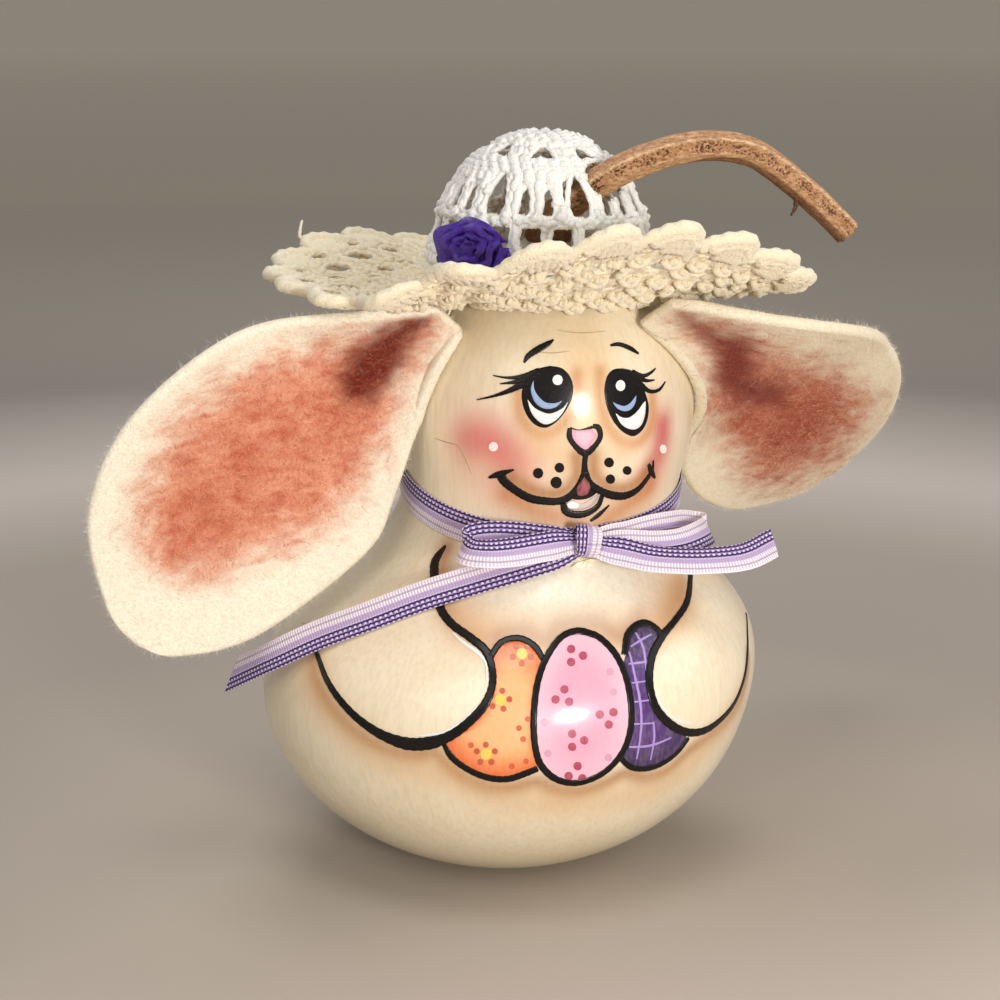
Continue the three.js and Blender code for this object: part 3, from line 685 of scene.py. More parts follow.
def floor_material():
    """Pale ground whose painted light and shade change softly away from the object."""
    s = Shader("floor", Roughness=0.75, Specular_IOR_Level=0.2)
    distance = s.node("VectorMath", {"operation": "LENGTH"}, _0=s.place()).outputs["Value"]
    share = s.node("MapRange", Value=distance, From_Min=0.0, From_Max=float(FLOOR_REACH)).outputs[0]
    tone = s.ramp(share, *[(radius / FLOOR_REACH, linear(*tone)) for radius, tone in FLOOR_LIGHT_AND_SHADE_TONES])
    depth = s.node("SeparateXYZ", Vector=s.place()).outputs["Y"]
    front = s.node("MapRange", {"interpolation_type": "SMOOTHSTEP"}, Value=depth, From_Min=FLOOR_FRONT[0],
                   From_Max=FLOOR_FRONT[1]).outputs[0]
    s.to("Base Color", s.mix(front, tone, linear(*FLOOR_FRONT_PAINTED_LIGHT)))
    s.bump(s.noise(0.8, 3), 0.05, 0.3)
    return s.material


# The gourd, with brushed tints and painted light and shade in the points' colours
CREAM = (246, 231, 202)
SHADED_BASE_CREAM = (206, 190, 152)
SHADED_SIDE_CREAM = (222, 204, 168)
BLACK = (26, 18, 15)

# Brushed tints and painted light and shade: colour, reach in millimetres, strength, and the photo's pixels
# that the brush passed
BRUSHED_TINTS_AND_PAINTED_LIGHT = [
    ((216, 86, 96), 5.6, 0.72, [(470, 440), (494, 446), (508, 458)]),
    ((220, 104, 104), 8.0, 0.5, [(486, 440), (502, 452), (512, 474)]),
    ((202, 70, 84), 4.8, 0.9, [(662, 426), (660, 450), (650, 474)]),
    ((236, 170, 140), 7.0, 0.35, [(660, 478), (640, 500), (520, 500), (480, 478)]),
    ((248, 205, 150), 6.0, 0.6, [(584, 352), (586, 392), (588, 420)]),
    ((206, 138, 76), 2.0, 0.8,
     [(519, 388), (520, 412), (533, 431), (551, 433), (566, 420), (577, 398), (577, 374)]),
    ((206, 138, 76), 2.0, 0.8,
     [(600, 372), (600, 398), (607, 424), (622, 441), (640, 441), (652, 422), (652, 396)]),
    ((240, 190, 140), 4.5, 0.55, [(540, 445), (560, 450), (575, 462)]),
    ((240, 190, 140), 4.5, 0.5, [(620, 452), (604, 456), (596, 466)]),
    ((172, 112, 60), 2.0, 0.85, [(577, 456), (577, 474), (568, 488), (552, 494), (532, 490), (512, 478)]),
    ((172, 112, 60), 2.0, 0.85, [(593, 456), (595, 474), (606, 486), (624, 488), (640, 480), (648, 468)]),
    ((200, 126, 66), 3.4, 0.85, [(508, 494), (532, 510), (560, 520), (590, 528), (620, 510), (648, 488)]),
    ((184, 122, 68), 2.5, 0.85, [(447, 548), (443, 566), (444, 588), (452, 612), (474, 632), (494, 646)]),
    ((226, 168, 108), 5.0, 0.7,
     [(470, 618), (500, 630), (540, 628), (580, 620), (620, 630), (660, 618), (678, 596)]),
    ((176, 114, 62), 2.2, 0.8,
     [(498, 636), (530, 633), (545, 640), (560, 626), (600, 624), (618, 634), (640, 616)]),
    ((200, 140, 84), 2.8, 0.75, [(682, 578), (678, 602), (664, 622), (652, 636)]),
    ((164, 104, 56), 2.3, 0.85,
     [(312, 660), (318, 684), (334, 710), (356, 732), (384, 748), (412, 755), (436, 754), (446, 764),
      (466, 778), (490, 787), (516, 787), (536, 782), (556, 789), (582, 791), (608, 782), (624, 774),
      (646, 777), (668, 770), (688, 752), (704, 740), (722, 726), (738, 704), (746, 680), (748, 656)]),
    ((218, 170, 116), 5.5, 0.55,
     [(306, 668), (330, 714), (380, 756), (440, 772), (500, 796), (580, 800), (660, 784), (712, 742),
      (740, 700)]),
    # Painted highlight: the upper belly lighter where the light falls
    ((255, 248, 232), 9.0, 0.7, [(500, 570), (560, 585), (620, 575)]),
    # Painted shadow of the brim across the top of the forehead
    ((190, 172, 136), 9.0, 0.35, [(425, 330), (500, 322), (580, 325)])]


def near_strokes(angles, heights, pixels):
    """Distance in millimetres over the skin from points to a line of the photo's pixels."""
    places = np.array([skin_at(pixel) for pixel in pixels])
    places = respaced(spline(places, 12 * len(places)), 8 * len(places))
    least = np.full(np.shape(angles), np.inf)
    for angle, height in places:
        arc = np.radians(angles - angle) * gourd_radius(heights)
        least = np.minimum(least, np.hypot(arc, heights - height))
    return least


def gourd_colors(angles, heights):
    """Cream with painted shade towards the base and round the sides, and the brushed tints and painted light
    over it.
    """
    front = half_turned(angles)
    # Painted shade: darker towards the base and round the sides, less so on the head
    low = 0.42 * (1 - ease(heights, 0, 34))
    side = ease(np.abs(front), 45, 110) * (0.3 - 0.22 * ease(heights, 85, 105))
    colors = blended(np.broadcast_to(linear(*CREAM), (*angles.shape, 3)), linear(*SHADED_BASE_CREAM), low)
    colors = blended(colors, linear(*SHADED_SIDE_CREAM), side)
    for color, reach, strength, pixels in BRUSHED_TINTS_AND_PAINTED_LIGHT:
        weight = strength * np.exp(-(near_strokes(front, heights, pixels) / reach) ** 2)
        colors = blended(colors, linear(*color), weight)
    return colors


def add_gourd(material):
    columns = 400
    quarter = np.linspace(0, np.pi / 2, 60)
    bulb = BULB_HEIGHT * (1 - np.cos(quarter))
    waist = np.linspace(BULB_HEIGHT, HEAD_HEIGHT, 100)[1:]
    dome = HEAD_HEIGHT + (TOP_HEIGHT - HEAD_HEIGHT) * np.sin(quarter)[1:]
    angles = np.arange(columns) / columns * 360
    heights, angles = np.meshgrid(np.concatenate([bulb, waist, dome]), angles, indexing="ij")
    colors = gourd_colors(angles, heights).reshape(-1, 3)
    gourd = new_piece("painted_gourd", gourd_point(angles, heights), tube_faces(*heights.shape),
                      material, colors)
    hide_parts("gourd_shell")
    finish_piece(gourd, "gourd")


# Painted shapes: thin films of paint laid over the gourd's skin, from the photo's pixels

FILM = 0.09


def skin_line(pixels, count):
    return spline([skin_at(pixel) for pixel in pixels], count)


def film(rows, layer):
    """Points of a film over rows of angles and heights, raised by its layer, with a skirt to the skin."""
    rows = np.asarray(rows, float)
    raised = np.full(rows.shape[:2], FILM * layer)
    raised[0] = raised[-1] = -FILM
    raised[:, 0] = raised[:, -1] = -FILM
    return gourd_point(rows[..., 0], rows[..., 1], raised)


def add_stroke(pile, pixels, widths, color=BLACK, layer=3):
    """A brush stroke along pixels, with its width in pixels at each."""
    count = 10 * len(pixels)
    line = skin_line(pixels, count)
    places = gourd_point(line[:, 0], line[:, 1])
    width = spline(np.array(widths, float)[:, None], count)[:, 0]
    scale = CAMERA_DISTANCE / FOCAL_PIXELS
    along = directions_along(places)
    normal = unit(gourd_point(line[:, 0], line[:, 1], 1.0) - places)
    side = np.cross(normal, along)
    waver = 1 + 0.05 * np.sin(np.arange(count) * 1.7 + len(pixels))
    rows = []
    for share in (-1, -0.97, -0.5, 0, 0.5, 0.97, 1):
        moved = places + side * (np.maximum(width, 0.4) * waver * scale * share / 2)[:, None]
        angle = np.degrees(np.arctan2(moved[:, 0] - axis_shift(moved[:, 2]), -moved[:, 1]))
        rows.append(np.stack([angle, moved[:, 2]], -1))
    pile.add(film(rows, layer), grid_faces(len(rows), count), linear(*color))


def add_patch(pile, centre, outline, color, layer=1, edge_color=None):
    """A filled shape round a centre, shading to another colour at its edge."""
    border = spline([*outline, outline[0]], 6 * (len(outline) + 1))
    centre = np.array(centre)
    shares = np.concatenate([np.linspace(0, 0.94, 16), (0.98, 1.0)])
    rows, tones = [], []
    inner, outer = linear(*color), linear(*(edge_color or color))
    for share in shares:
        pixels = centre + (border - centre) * share
        rows.append([skin_at(pixel) for pixel in pixels])
        tones.append(np.broadcast_to(inner + (outer - inner) * float(ease(share, 0.45, 1)), (len(border),
                                                                                             3)))
    raised = np.full((len(shares), len(border)), FILM * layer)
    raised[-1] = -FILM
    rows = np.array(rows)
    pile.add(gourd_point(rows[..., 0], rows[..., 1], raised), grid_faces(len(shares), len(border)),
             np.concatenate(tones))


def add_dot(pile, centre, radius, color, layer=2, tall=1.0):
    ring = [(centre[0] + radius * math.cos(t),
             centre[1] + radius * tall * math.sin(t)) for t in turns_round(8)]
    add_patch(pile, centre, ring, color, layer)


def add_crescent(pile, outer, inner, color, layer=3):
    """A shape between two lines of pixels that share their ends."""
    count = 8 * len(outer)
    a, b = skin_line(outer, count), skin_line(inner, count)
    rows = [a + (b - a) * share for share in (0, 0.04, 0.35, 0.65, 0.96, 1)]
    pile.add(film(rows, layer), grid_faces(len(rows), count), linear(*color))


def paint_eyes(black, colors):
    left = [(550, 365.5), (562, 368), (570, 376), (573.3, 387), (571, 401), (563, 415), (554, 424),
            (545, 428), (535, 425), (526.5, 415), (522, 402), (522, 390), (527, 378), (537, 369)]
    right = [(622.3, 368), (632, 370.5), (639, 379), (645, 392), (648.8, 408), (646, 424), (640, 433),
             (633, 436.5), (624, 433), (615, 424), (608.5, 412), (604.8, 398), (604.4, 386), (608, 374),
             (614, 369)]
    add_patch(black, (548, 396), left, BLACK, 2)
    add_patch(black, (627, 401), right, BLACK, 2)
    white = (250, 244, 240)
    add_crescent(
        colors,
        [(527.5, 399), (531, 412), (538, 421), (545.6, 424.6), (555, 421), (563, 412), (568.3, 401)],
        [(527.5, 399), (534, 407), (541, 411), (549, 413.2), (557, 411), (563.5, 407), (568.3, 401)],
        white)
    add_crescent(
        colors,
        [(615, 413), (620, 423), (627, 428.5), (635.3, 429.5), (641, 425), (644.5, 414), (645, 401)],
        [(615, 413), (621, 416.8), (628, 417.3), (634, 413.5), (639, 408), (642.5, 403), (645, 401)],
        white)
    blue = (150, 176, 214)
    add_crescent(
        colors,
        [(533.6, 380), (530.8, 389), (533.5, 400), (540, 407), (548, 409), (556, 407), (562.5, 400.5)],
        [(533.6, 380), (534.5, 389), (539, 396.5), (544.5, 401.5), (550, 403), (556.5, 402.6),
         (562.5, 400.5)],
        blue)
    add_crescent(
        colors,
        [(612.2, 402), (617, 408.5), (624.2, 411.3), (631, 409), (635, 402), (635.7, 395.4)],
        [(612.2, 402), (617.5, 404.2), (624, 405.7), (630, 402.5), (633, 399), (635.7, 395.4)],
        blue)
    add_dot(colors, (557.6, 380), 5.2, white, 3)
    add_dot(colors, (620.1, 385.6), 4.8, white, 3, 1.15)


def paint_brows_and_lashes(black):
    add_stroke(
        black,
        [(524, 363), (528, 356.6), (539, 349), (548.4, 343.6), (554, 339.6)],
        [1.5, 5, 6.5, 5, 1])
    add_stroke(black, [(610, 345.5), (618.6, 344.4), (629.7, 348.3), (639, 354.2)], [2, 4, 4.5, 1.5])
    lashes = [
        ([(540, 371), (522.5, 376.6), (507.7, 377.8), (492.5, 375.4)], [7, 4.5, 2.5, 0.8]),
        ([(535, 374), (516.9, 381.5), (499.4, 384)], [7, 4, 0.8]),
        ([(528, 381), (511.4, 389.9), (494.7, 395.8), (476.2, 400)], [8, 5, 2.5, 0.8]),
        ([(631.6, 372.3), (642.7, 376), (651, 372.3), (655.3, 368.2)], [6, 4, 2.5, 1]),
        ([(635.3, 376), (645.5, 380.6), (654.7, 380)], [6, 3.5, 1]),
        ([(638, 382), (648.2, 390.8), (658.4, 389.9), (665.2, 381.2)], [6, 4, 3, 0.8])]
    for pixels, widths in lashes:
        add_stroke(black, pixels, widths)


def paint_nose_and_mouth(black, colors):
    add_patch(
        colors, (584, 438),
        [(571, 432), (578, 429.5), (585.4, 430), (592, 429.5), (597, 436), (593, 441), (586, 450.5),
         (574, 441)],
        (246, 190, 204), 2, (240, 150, 178))
    add_stroke(
        black,
        [(570, 427.8), (569.3, 436), (573.3, 443.5), (585.4, 452.8), (596.5, 443.5), (600.2, 436),
         (598.3, 427.8), (592.5, 425.8)],
        [4, 5, 5, 7, 5, 5, 5.5, 4])
    add_stroke(black, [(570, 427.8), (579, 429.8), (592.5, 427)], [2, 0.9, 3])
    add_stroke(black, [(586, 452), (584.6, 462), (584.6, 473)], [5.5, 5, 7])
    add_patch(
        black, (584, 488),
        [(585, 472), (591, 482), (597.5, 491), (586, 499), (571, 498), (578, 485)],
        BLACK, 2)
    add_patch(colors, (583, 487), [(584.4, 476), (590, 486), (586.3, 494.4), (578, 495.3), (576.6, 488)],
              (158, 66, 74), 3, (122, 44, 52))
    add_patch(
        colors, (583, 504),
        [(566, 502.7), (570.6, 500), (583, 503), (593, 497), (599.5, 493.5), (597, 500), (590, 506.5),
         (578, 510), (568, 508.5)],
        (214, 196, 186), 3, (176, 150, 142))
    add_patch(colors, (573, 504.5), [(566.5, 504), (571, 501), (578, 503.5), (578, 507), (569, 507.5)],
              (255, 250, 244), 4)
    add_stroke(black, [(563, 503), (565, 510.5), (576, 514.5), (589, 512), (598.3, 504.6), (602, 495.3)],
               [5, 6.5, 7, 6, 5, 4], layer=4)
    add_stroke(
        black,
        [(499.4, 473), (504, 480.5), (515, 489.7), (529.9, 498), (544.7, 500.8), (559.5, 500.8),
         (570.6, 495.3), (579.8, 484.2), (585, 471)],
        [9, 9, 8, 8, 7.5, 7, 7, 7, 6])
    add_stroke(
        black,
        [(585, 471), (589, 482.3), (600.2, 490.7), (613.1, 495.3), (626, 495.3), (639, 488), (650, 474)],
        [6, 7, 7.5, 8, 7.5, 6, 5])
    add_stroke(black, [(488.3, 477.7), (499.4, 474), (514.2, 469.4)], [1.8, 6, 1.4])
    add_stroke(black, [(648.2, 464), (651, 471.2), (654.7, 478.3)], [3, 6, 2])
    add_stroke(black, [(653, 460), (652.5, 468), (651, 474)], [1.2, 2.5, 4])
    add_stroke(black, [(590, 521), (598.3, 514.8), (609.4, 504.6)], [2.5, 4, 1])
    whisker_dots = [((538.2, 473.1), 5.2), ((559.5, 467.6), 4.9), ((556.3, 482.4), 5.8), ((609, 462.4), 4.9),
                    ((627, 470.4), 4.4), ((610.3, 479), 4.7)]
    for centre, radius in whisker_dots:
        add_dot(black, centre, radius, BLACK, 2)
    add_dot(colors, (493.4, 446.7), 4.6, (255, 240, 232), 2)
    add_dot(colors, (663, 449), 3.2, (255, 236, 224), 2, 1.4)


def paint_arms(black, colors):
    add_stroke(
        black,
        [(446, 545), (436, 560), (434.5, 575), (437, 592), (441.4, 610), (451.8, 624), (470.7, 638),
         (486.2, 651.7), (492.2, 669), (492.2, 686), (484.5, 705), (469, 722), (450, 736), (429.4, 743),
         (408.7, 743.8), (384.6, 736), (360.5, 720.5), (341.6, 701.6), (327.8, 681), (319.2, 659.4),
         (312, 636)],
        [2, 9, 9, 8, 8, 8, 8, 8, 7, 7, 8, 8.5, 9, 12, 12, 9.5, 7.5, 6.5, 5.5, 4.5, 2.5])
    add_stroke(black, [(690, 560), (690, 578.6), (686, 604), (675.7, 619.6), (661.4, 637.5), (651.6, 657),
                       (648.9, 680), (654.3, 705), (668.6, 723), (686.4, 732), (704.3, 730.4), (722, 718),
                       (734.6, 702), (743.6, 678.6), (747, 653.6), (747, 632), (745.4, 612)],
               [6, 6, 6.5, 6.5, 7.5, 8, 8.5, 8.5, 8.5, 8, 7.5, 6.5, 5.5, 4.5, 3.5, 2, 0.8])
    gleams = [
        ([(452, 632), (464, 643), (477, 652), (486, 664), (487, 684)], [1, 3, 3.5, 2.5, 1]),
        ([(478, 705), (462, 721), (440, 733), (416, 736)], [1, 2, 2, 1]),
        ([(655, 690), (663, 708), (676, 720), (692, 724)], [1, 2, 2, 1])]
    for pixels, widths in gleams:
        add_stroke(colors, pixels, widths, (240, 238, 234), 2)
    cracks = [[(434, 438), (446, 442), (458, 446), (464, 455)], [(462, 452), (467, 462), (472, 474)],
              [(536, 352), (552, 353), (570, 351)], [(556, 330), (580, 333), (606, 331)],
              [(300, 622), (322, 628), (346, 626)]]
    for pixels in cracks:
        add_stroke(colors, pixels, [0.4] + [0.9] * (len(pixels) - 2) + [0.4], (186, 158, 116), 1)


def ring_of_dots(pile, centre, count, radii, start, radius, color, layer):
    """Dots evenly round a centre, from a turn in degrees."""
    for step in range(count):
        turn = math.radians(360 / count * step + start)
        place = (centre[0] + radii[0] * math.cos(turn), centre[1] + radii[1] * math.sin(turn))
        add_dot(pile, place, radius, color, layer)


def paint_eggs(black, colors):
    pink = [(579.3, 631.3), (597, 636.6), (613.2, 651.8), (623.5, 671.4), (630, 700), (630, 728.6),
            (622, 751.8), (604.3, 771.4), (579.3, 782), (558, 779.5), (541.8, 766), (535.5, 748),
            (533.8, 716), (538.2, 680.4), (547, 657), (561.4, 637.5)]
    orange = [(492, 657), (500, 645), (518, 640), (533, 648), (545, 664), (541, 700), (538, 750), (536, 770),
              (508, 778), (488, 777), (467, 768), (452, 756), (445, 742), (460, 734), (478, 714), (490, 690),
              (493, 670)]
    purple = [(627, 641), (638, 626), (650, 626), (659, 636), (654, 657), (650, 680), (655, 706),
              (668, 724), (687, 737), (677, 752), (661, 763), (645, 767.5), (628, 765), (618, 752),
              (626, 728), (626, 700), (621, 672), (625, 655)]
    add_patch(colors, (506, 718), orange, (252, 184, 124), 1, (234, 108, 38))
    add_patch(colors, (640, 716), purple, (78, 40, 112), 1, (48, 20, 76))
    add_patch(colors, (581, 710), pink, (248, 164, 186), 2, (244, 190, 206))
    add_stroke(
        black,
        [(490, 658), (500.7, 643), (518.6, 638.4), (534.6, 646.4), (544, 660.7)],
        [6, 6, 6.5, 6.5, 5])
    add_stroke(black, [(444, 744), (451.8, 756.7), (467.3, 768.7), (488, 777.3), (508, 778.6), (525.7, 773),
                       (538, 768)], [4, 6, 6, 6.5, 6.5, 6.5, 6])
    add_stroke(black, [(624, 656), (627.5, 636), (636.4, 625.5), (647, 623.2), (657.9, 630.4), (661, 636)],
               [6, 7, 7, 7, 7, 6])
    add_stroke(black, [(620, 758), (631, 767), (645.4, 768.5), (661.4, 763.8), (677.5, 752), (689, 737)],
               [5, 5.5, 5.5, 5, 4.5, 4])
    add_stroke(black, [*pink, pink[0], pink[1]], [7] * 3 + [6.5] * 8 + [6] * 5 + [7, 7], layer=4)
    grid_lines = [
        [(635, 632), (642, 645), (645, 659), (646, 672)],
        [(628.4, 650), (635, 678), (640, 702), (641, 726), (636, 761)],
        [(653, 721), (654, 736), (650, 761)], [(652, 634), (641, 640), (630, 647)],
        [(628, 664), (638, 663), (650, 661)], [(631, 683), (648, 681)], [(634, 702), (650, 700)],
        [(633, 724), (655, 723)], [(628, 747), (650, 745.5), (672, 737)]]
    for pixels in grid_lines:
        add_stroke(colors, pixels, [1.6] + [2.4] * (len(pixels) - 2) + [1.4], (170, 140, 208), 2)
    for centre in [(522, 654), (500, 700), (486, 754)]:
        ring_of_dots(colors, centre, 5, (9.5, 9.5), centre[0], 3.1, (196, 84, 40), 2)
        add_dot(colors, centre, 5.6, (252, 206, 84), 3)
    for centre in [(519, 728), (523, 739), (528, 719), (526, 761), (512, 766), (471, 745)]:
        add_dot(colors, centre, 3.0, (214, 92, 44), 2)
    for x, y, start in [(575, 656, 0), (563, 697, 40), (607, 717, 80), (576, 740, 0), (576, 773, 40)]:
        ring_of_dots(colors, (x, y), 3, (8, 7.5), start, 4.3, (176, 62, 92), 3)
    for centre in [(613, 692), (545, 722), (548, 753), (608, 757), (610, 672)]:
        add_dot(colors, centre, 3.8, (214, 158, 178), 3)


def add_painting():
    black, colors = Pile(), Pile()
    paint_eyes(black, colors)
    paint_brows_and_lashes(black)
    paint_nose_and_mouth(black, colors)
    paint_arms(black, colors)
    paint_eggs(black, colors)
    finish_piece(black.piece("painted_outlines", black_paint_material()), "gourd")
    finish_piece(colors.piece("painted_colours", paint_material()), "gourd")


# Stem

def stem_line(count):
    root = np.array((float(axis_shift(TOP_HEIGHT)), 0, TOP_HEIGHT + 0.3))
    return respaced(spline(np.array(STEM_STEPS, float) + root, 400), count)


def add_stem(material):
    """The ribbed stem: ridges along it, pits in the groove that faces the front, and a rough cut end."""
    count, sides = 760, 120
    path = stem_line(count)
    tangent = directions_along(path)
    across = unit(np.cross(FRONT, tangent))
    share = np.linspace(0, 1, count)[:, None]
    turn = turns_round(sides)[None]
    body = STEM_RADIUS + (STEM_TIP_RADIUS - STEM_RADIUS) * share
    body = body + (STEM_ROOT_RADIUS - STEM_RADIUS) * (1 - ease(share, 0, 0.12))
    wander = 0.25 * np.sin(share * 9)
    ridge = np.abs(np.cos(STEM_RIBS / 2 * (turn + wander)))
    length = length_along(path)[:, None]
    skin = np.stack(np.broadcast_arrays(3.5 * np.cos(turn), 3.5 * np.sin(turn), 0.16 * length), -1)

    def texture(stretch, scale, seed):
        return rough(skin * (1, 1, stretch), scale, seed).reshape(count, sides)

    fibres, lumps = texture(1, 0.55, 1), texture(1.6, 1.6, 2)
    degrees = np.degrees(np.mod(turn + wander * 0.3, 2 * np.pi))
    facing = ease(degrees, 56, 64) * (1 - ease(degrees, 104, 114))
    pits = np.clip(texture(5, 0.42, 3) + 0.55 * texture(5, 2.6, 6) - 0.2, 0, 0.25) / 0.25
    pits = pits * facing * ease(share, 0.02, 0.1)
    radius = body * (0.955 + 0.1 * ridge) + 0.1 * fibres + 0.16 * lumps - 0.5 * pits - 0.12 * facing
    points = ring_points(path, across, np.cross(tangent, across), radius, turn)
    points[-1] += tangent[-1] * (0.7 * rough(points[-1], 0.8, 4))[:, None]
    under = degrees - 150 + 30 * ease(share, 0.42, 0.62)
    tones_and_painted_light = [
        # Painted highlight on the ridges
        ((238, 202, 160), 0.3 * ridge**6),
        ((166, 120, 84), np.clip(-fibres, 0, 0.5) * 0.7),
        ((206, 164, 118), ease(degrees, 108, 118) * (1 - ease(under, 0, 15))),
        ((190, 142, 98), 0.7 * facing),
        # Painted highlight along one ridge at the upper front
        ((240, 206, 162), 0.9 * np.exp(-((degrees - 55) / 5) ** 2)),
        ((216, 168, 138), np.clip(lumps, 0, 0.4)),
        ((88, 54, 34), 0.85 * np.clip(pits * 1.4, 0, 1)),
        # Painted shade on the underside
        ((112, 74, 48), 0.9 * ease(under, 2, 18) * (1 - ease(degrees, 300, 330))),
        # Painted shade at the root, inside the crown
        ((120, 74, 44), 0.7 * (1 - ease(share, 0.03, 0.14)))]
    colors = np.broadcast_to(linear(212, 164, 122), points.shape)
    for color, weight in tones_and_painted_light:
        colors = blended(colors, linear(*color), weight)
    centre = count * sides
    faces = tube_faces(count, sides)[:-1]
    faces += [[centre - sides + k, centre - sides + (k + 1) % sides, centre] for k in range(sides)]
    points = np.vstack([points.reshape(-1, 3), path[-1] - tangent[-1] * 0.6])
    colors = np.vstack([colors.reshape(-1, 3), linear(120, 80, 48)])
    stem = new_piece("ribbed_stem", points, faces, material, colors)
    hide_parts("stem")
    finish_piece(stem, "gourd")
    add_thorn(material)


def add_thorn(material):
    """The small dry thorn under the stem."""
    line = stem_line(200)
    start = line[round(THORN_SHARE * 199)]
    path = spline(
        [start, start + (-0.6, -0.5, -3.4), start + (-0.9, -0.7, -5.2), start + (-2.0, -0.7, -7.2)],
        14)
    radius = np.linspace(1.1, 0.3, 14) * (1 + 0.15 * np.sin(np.arange(14) * 2.0))
    points, faces = tube(path, FRONT, radius, 8)
    thorn = new_piece("stem_thorn", points, faces, material, np.broadcast_to(linear(96, 62, 46),
                                                                             (len(points), 3)))
    finish_piece(thorn, "gourd")


# Crocheted hat

SCALLOPS = 22
SCALLOP_ANGLE = 0
SCALLOP_BASE_ROW = 14.05
SCALLOP_DEPTH = 0.75
RIM_RADIUS = 1.55
SCALLOP_FOOT_ROW = 13.7
CROWN_TOP_TURN = math.asin(CROWN_TOP_HOLE / CROWN_RADIUS)

# Openings in the crown, each an outline of degrees from its middle and rows
KITE = [(-1.8, 4.2), (1.8, 4.2), (5.0, 5.0), (6.8, 5.8), (5.4, 6.4), (-5.4, 6.4), (-6.8, 5.8), (-5.0, 5.0)]
SMALL_KITE = [(-1.2, 5.0), (1.2, 5.0), (3.2, 5.6), (3.8, 6.2), (2.8, 6.4), (-3.0, 6.4), (-3.8, 6.2),
              (-3.2, 5.6)]
STEM_OPENING = [(-5, 4.6), (6, 4.15), (11, 4.6), (15, 5.6), (13, 6.35), (-1, 6.3), (-5, 5.4)]
TRIANGLE = [(-4.0, 1.9), (4.0, 1.9), (8.5, 2.4), (12.0, 3.0), (0, 2.95), (-12.0, 3.0), (-8.5, 2.4)]
SQUARE = [(-5.6, 7.05), (0, 7.0), (5.6, 7.05), (5.8, 7.5), (5.6, 7.9), (0, 7.95), (-5.6, 7.9), (-5.8, 7.5)]

# Rings of openings: outline, how many, and the first one's angle
CROWN_OPENINGS = [(TRIANGLE, 8, -64), (KITE, 7, -46), (SMALL_KITE, 7, -27.7), (SMALL_KITE, 7, -14),
                  (STEM_OPENING, 1, 0), (SQUARE, 21, -40)]

# How far the yarn's middle and the edging's middle stay from an opening, in millimetres
YARN_MARGIN = 0.8
EDGING_MARGIN = 0.5

# Rings of eyelets in the brim: row, how many, first angle, half width in millimetres, half height in rows
BRIM_EYELETS = [(11.62, 22, 8, 2.1, 0.2), (12.85, 22, 0, 2.8, 0.26), (13.75, 22, 9, 2.2, 0.16)]

# How much larger the eyelets are at the left, where the lace is stretched
LEFT_STRETCH = 0.65


def brim_rise(angle):
    """How far the brim's edge is turned up at an angle, on a smooth line through the listed rises."""
    listed = np.array(BRIM_RISES, float)
    turns = np.concatenate([listed[:, 0] - 360, listed[:, 0], listed[:, 0] + 360])
    rises = np.tile(listed[:, 1], 3)
    turned = half_turned(angle)
    after = np.searchsorted(turns, turned, side="right")
    x0, x1, x2, x3 = (turns[after + k] for k in (-2, -1, 0, 1))
    y0, y1, y2, y3 = (rises[after + k] for k in (-2, -1, 0, 1))
    span = x2 - x1
    t = (turned - x1) / span
    smooth = t * t * (3 - 2 * t)
    return (y1 * (1 - smooth) + y2 * smooth + (y2 - y0) / (x2 - x0) * span * t * (1 - t) ** 2
            - (y3 - y1) / (x3 - x1) * span * t * t * (1 - t))


def hat_point(row, angle):
    """The hat's middle surface: row 0 is the crown's top, 10 its base, and the brim's edge is at 15."""
    row, angle = np.broadcast_arrays(np.asarray(row, float), np.asarray(angle, float))
    turn = CROWN_TOP_TURN + (np.pi / 2 - CROWN_TOP_TURN) * np.clip(row, 0, CROWN_ROWS) / CROWN_ROWS
    crown_radius = CROWN_RADIUS * np.sin(turn) ** CROWN_SQUARENESS
    crown_height = CROWN_HEIGHT * np.maximum(np.cos(turn), 0) ** CROWN_SQUARENESS
    share = np.maximum(row - CROWN_ROWS, 0) / BRIM_ROWS
    rise = brim_rise(angle)
    reach = np.sqrt(1 - (rise / BRIM_WIDTH) ** 2)
    ripple = 0.35 * np.sin(np.radians(angle * 7 + 40)) * share
    on_brim = row > CROWN_ROWS
    radius = np.where(on_brim, CROWN_RADIUS + BRIM_WIDTH * share * reach, crown_radius)
    height = np.where(on_brim, rise * share**BRIM_CURVE + ripple, crown_height)
    tilt = math.radians(HAT_TILT)
    x = radius * np.sin(np.radians(angle))
    points = np.stack([
        axis_shift(HAT_BASE_HEIGHT) + HAT_SHIFT + x * math.cos(tilt) + height * math.sin(tilt),
        -radius * np.cos(np.radians(angle)),
        HAT_BASE_HEIGHT + height * math.cos(tilt) - x * math.sin(tilt)], -1)
    return keep_off_gourd(points, HAT_THICKNESS / 2 + HAT_SEAT_GAP)


def hat_out(row, angle):
    """The direction out of the hat's upper side."""
    down = hat_point(np.asarray(row) + 0.25, angle) - hat_point(np.maximum(np.asarray(row) - 0.25, 0), angle)
    round_it = hat_point(row, np.asarray(angle) + 1) - hat_point(row, np.asarray(angle) - 1)
    return unit(np.cross(down, round_it))


def ring_radius(row):
    return float(np.hypot(*(hat_point(row, -90.0) - hat_point(row, 90.0))[[0, 1]])) / 2


def degrees_over(row, millimetres):
    """Degrees round the hat at a row that span so many millimetres."""
    return np.degrees(millimetres / ring_radius(row))


def eyelet_outline(row, half_width, half_height):
    turns = turns_round(12)
    half = degrees_over(row, half_width)
    return np.stack([half * np.cos(turns), row + half_height * np.sin(turns)], -1)


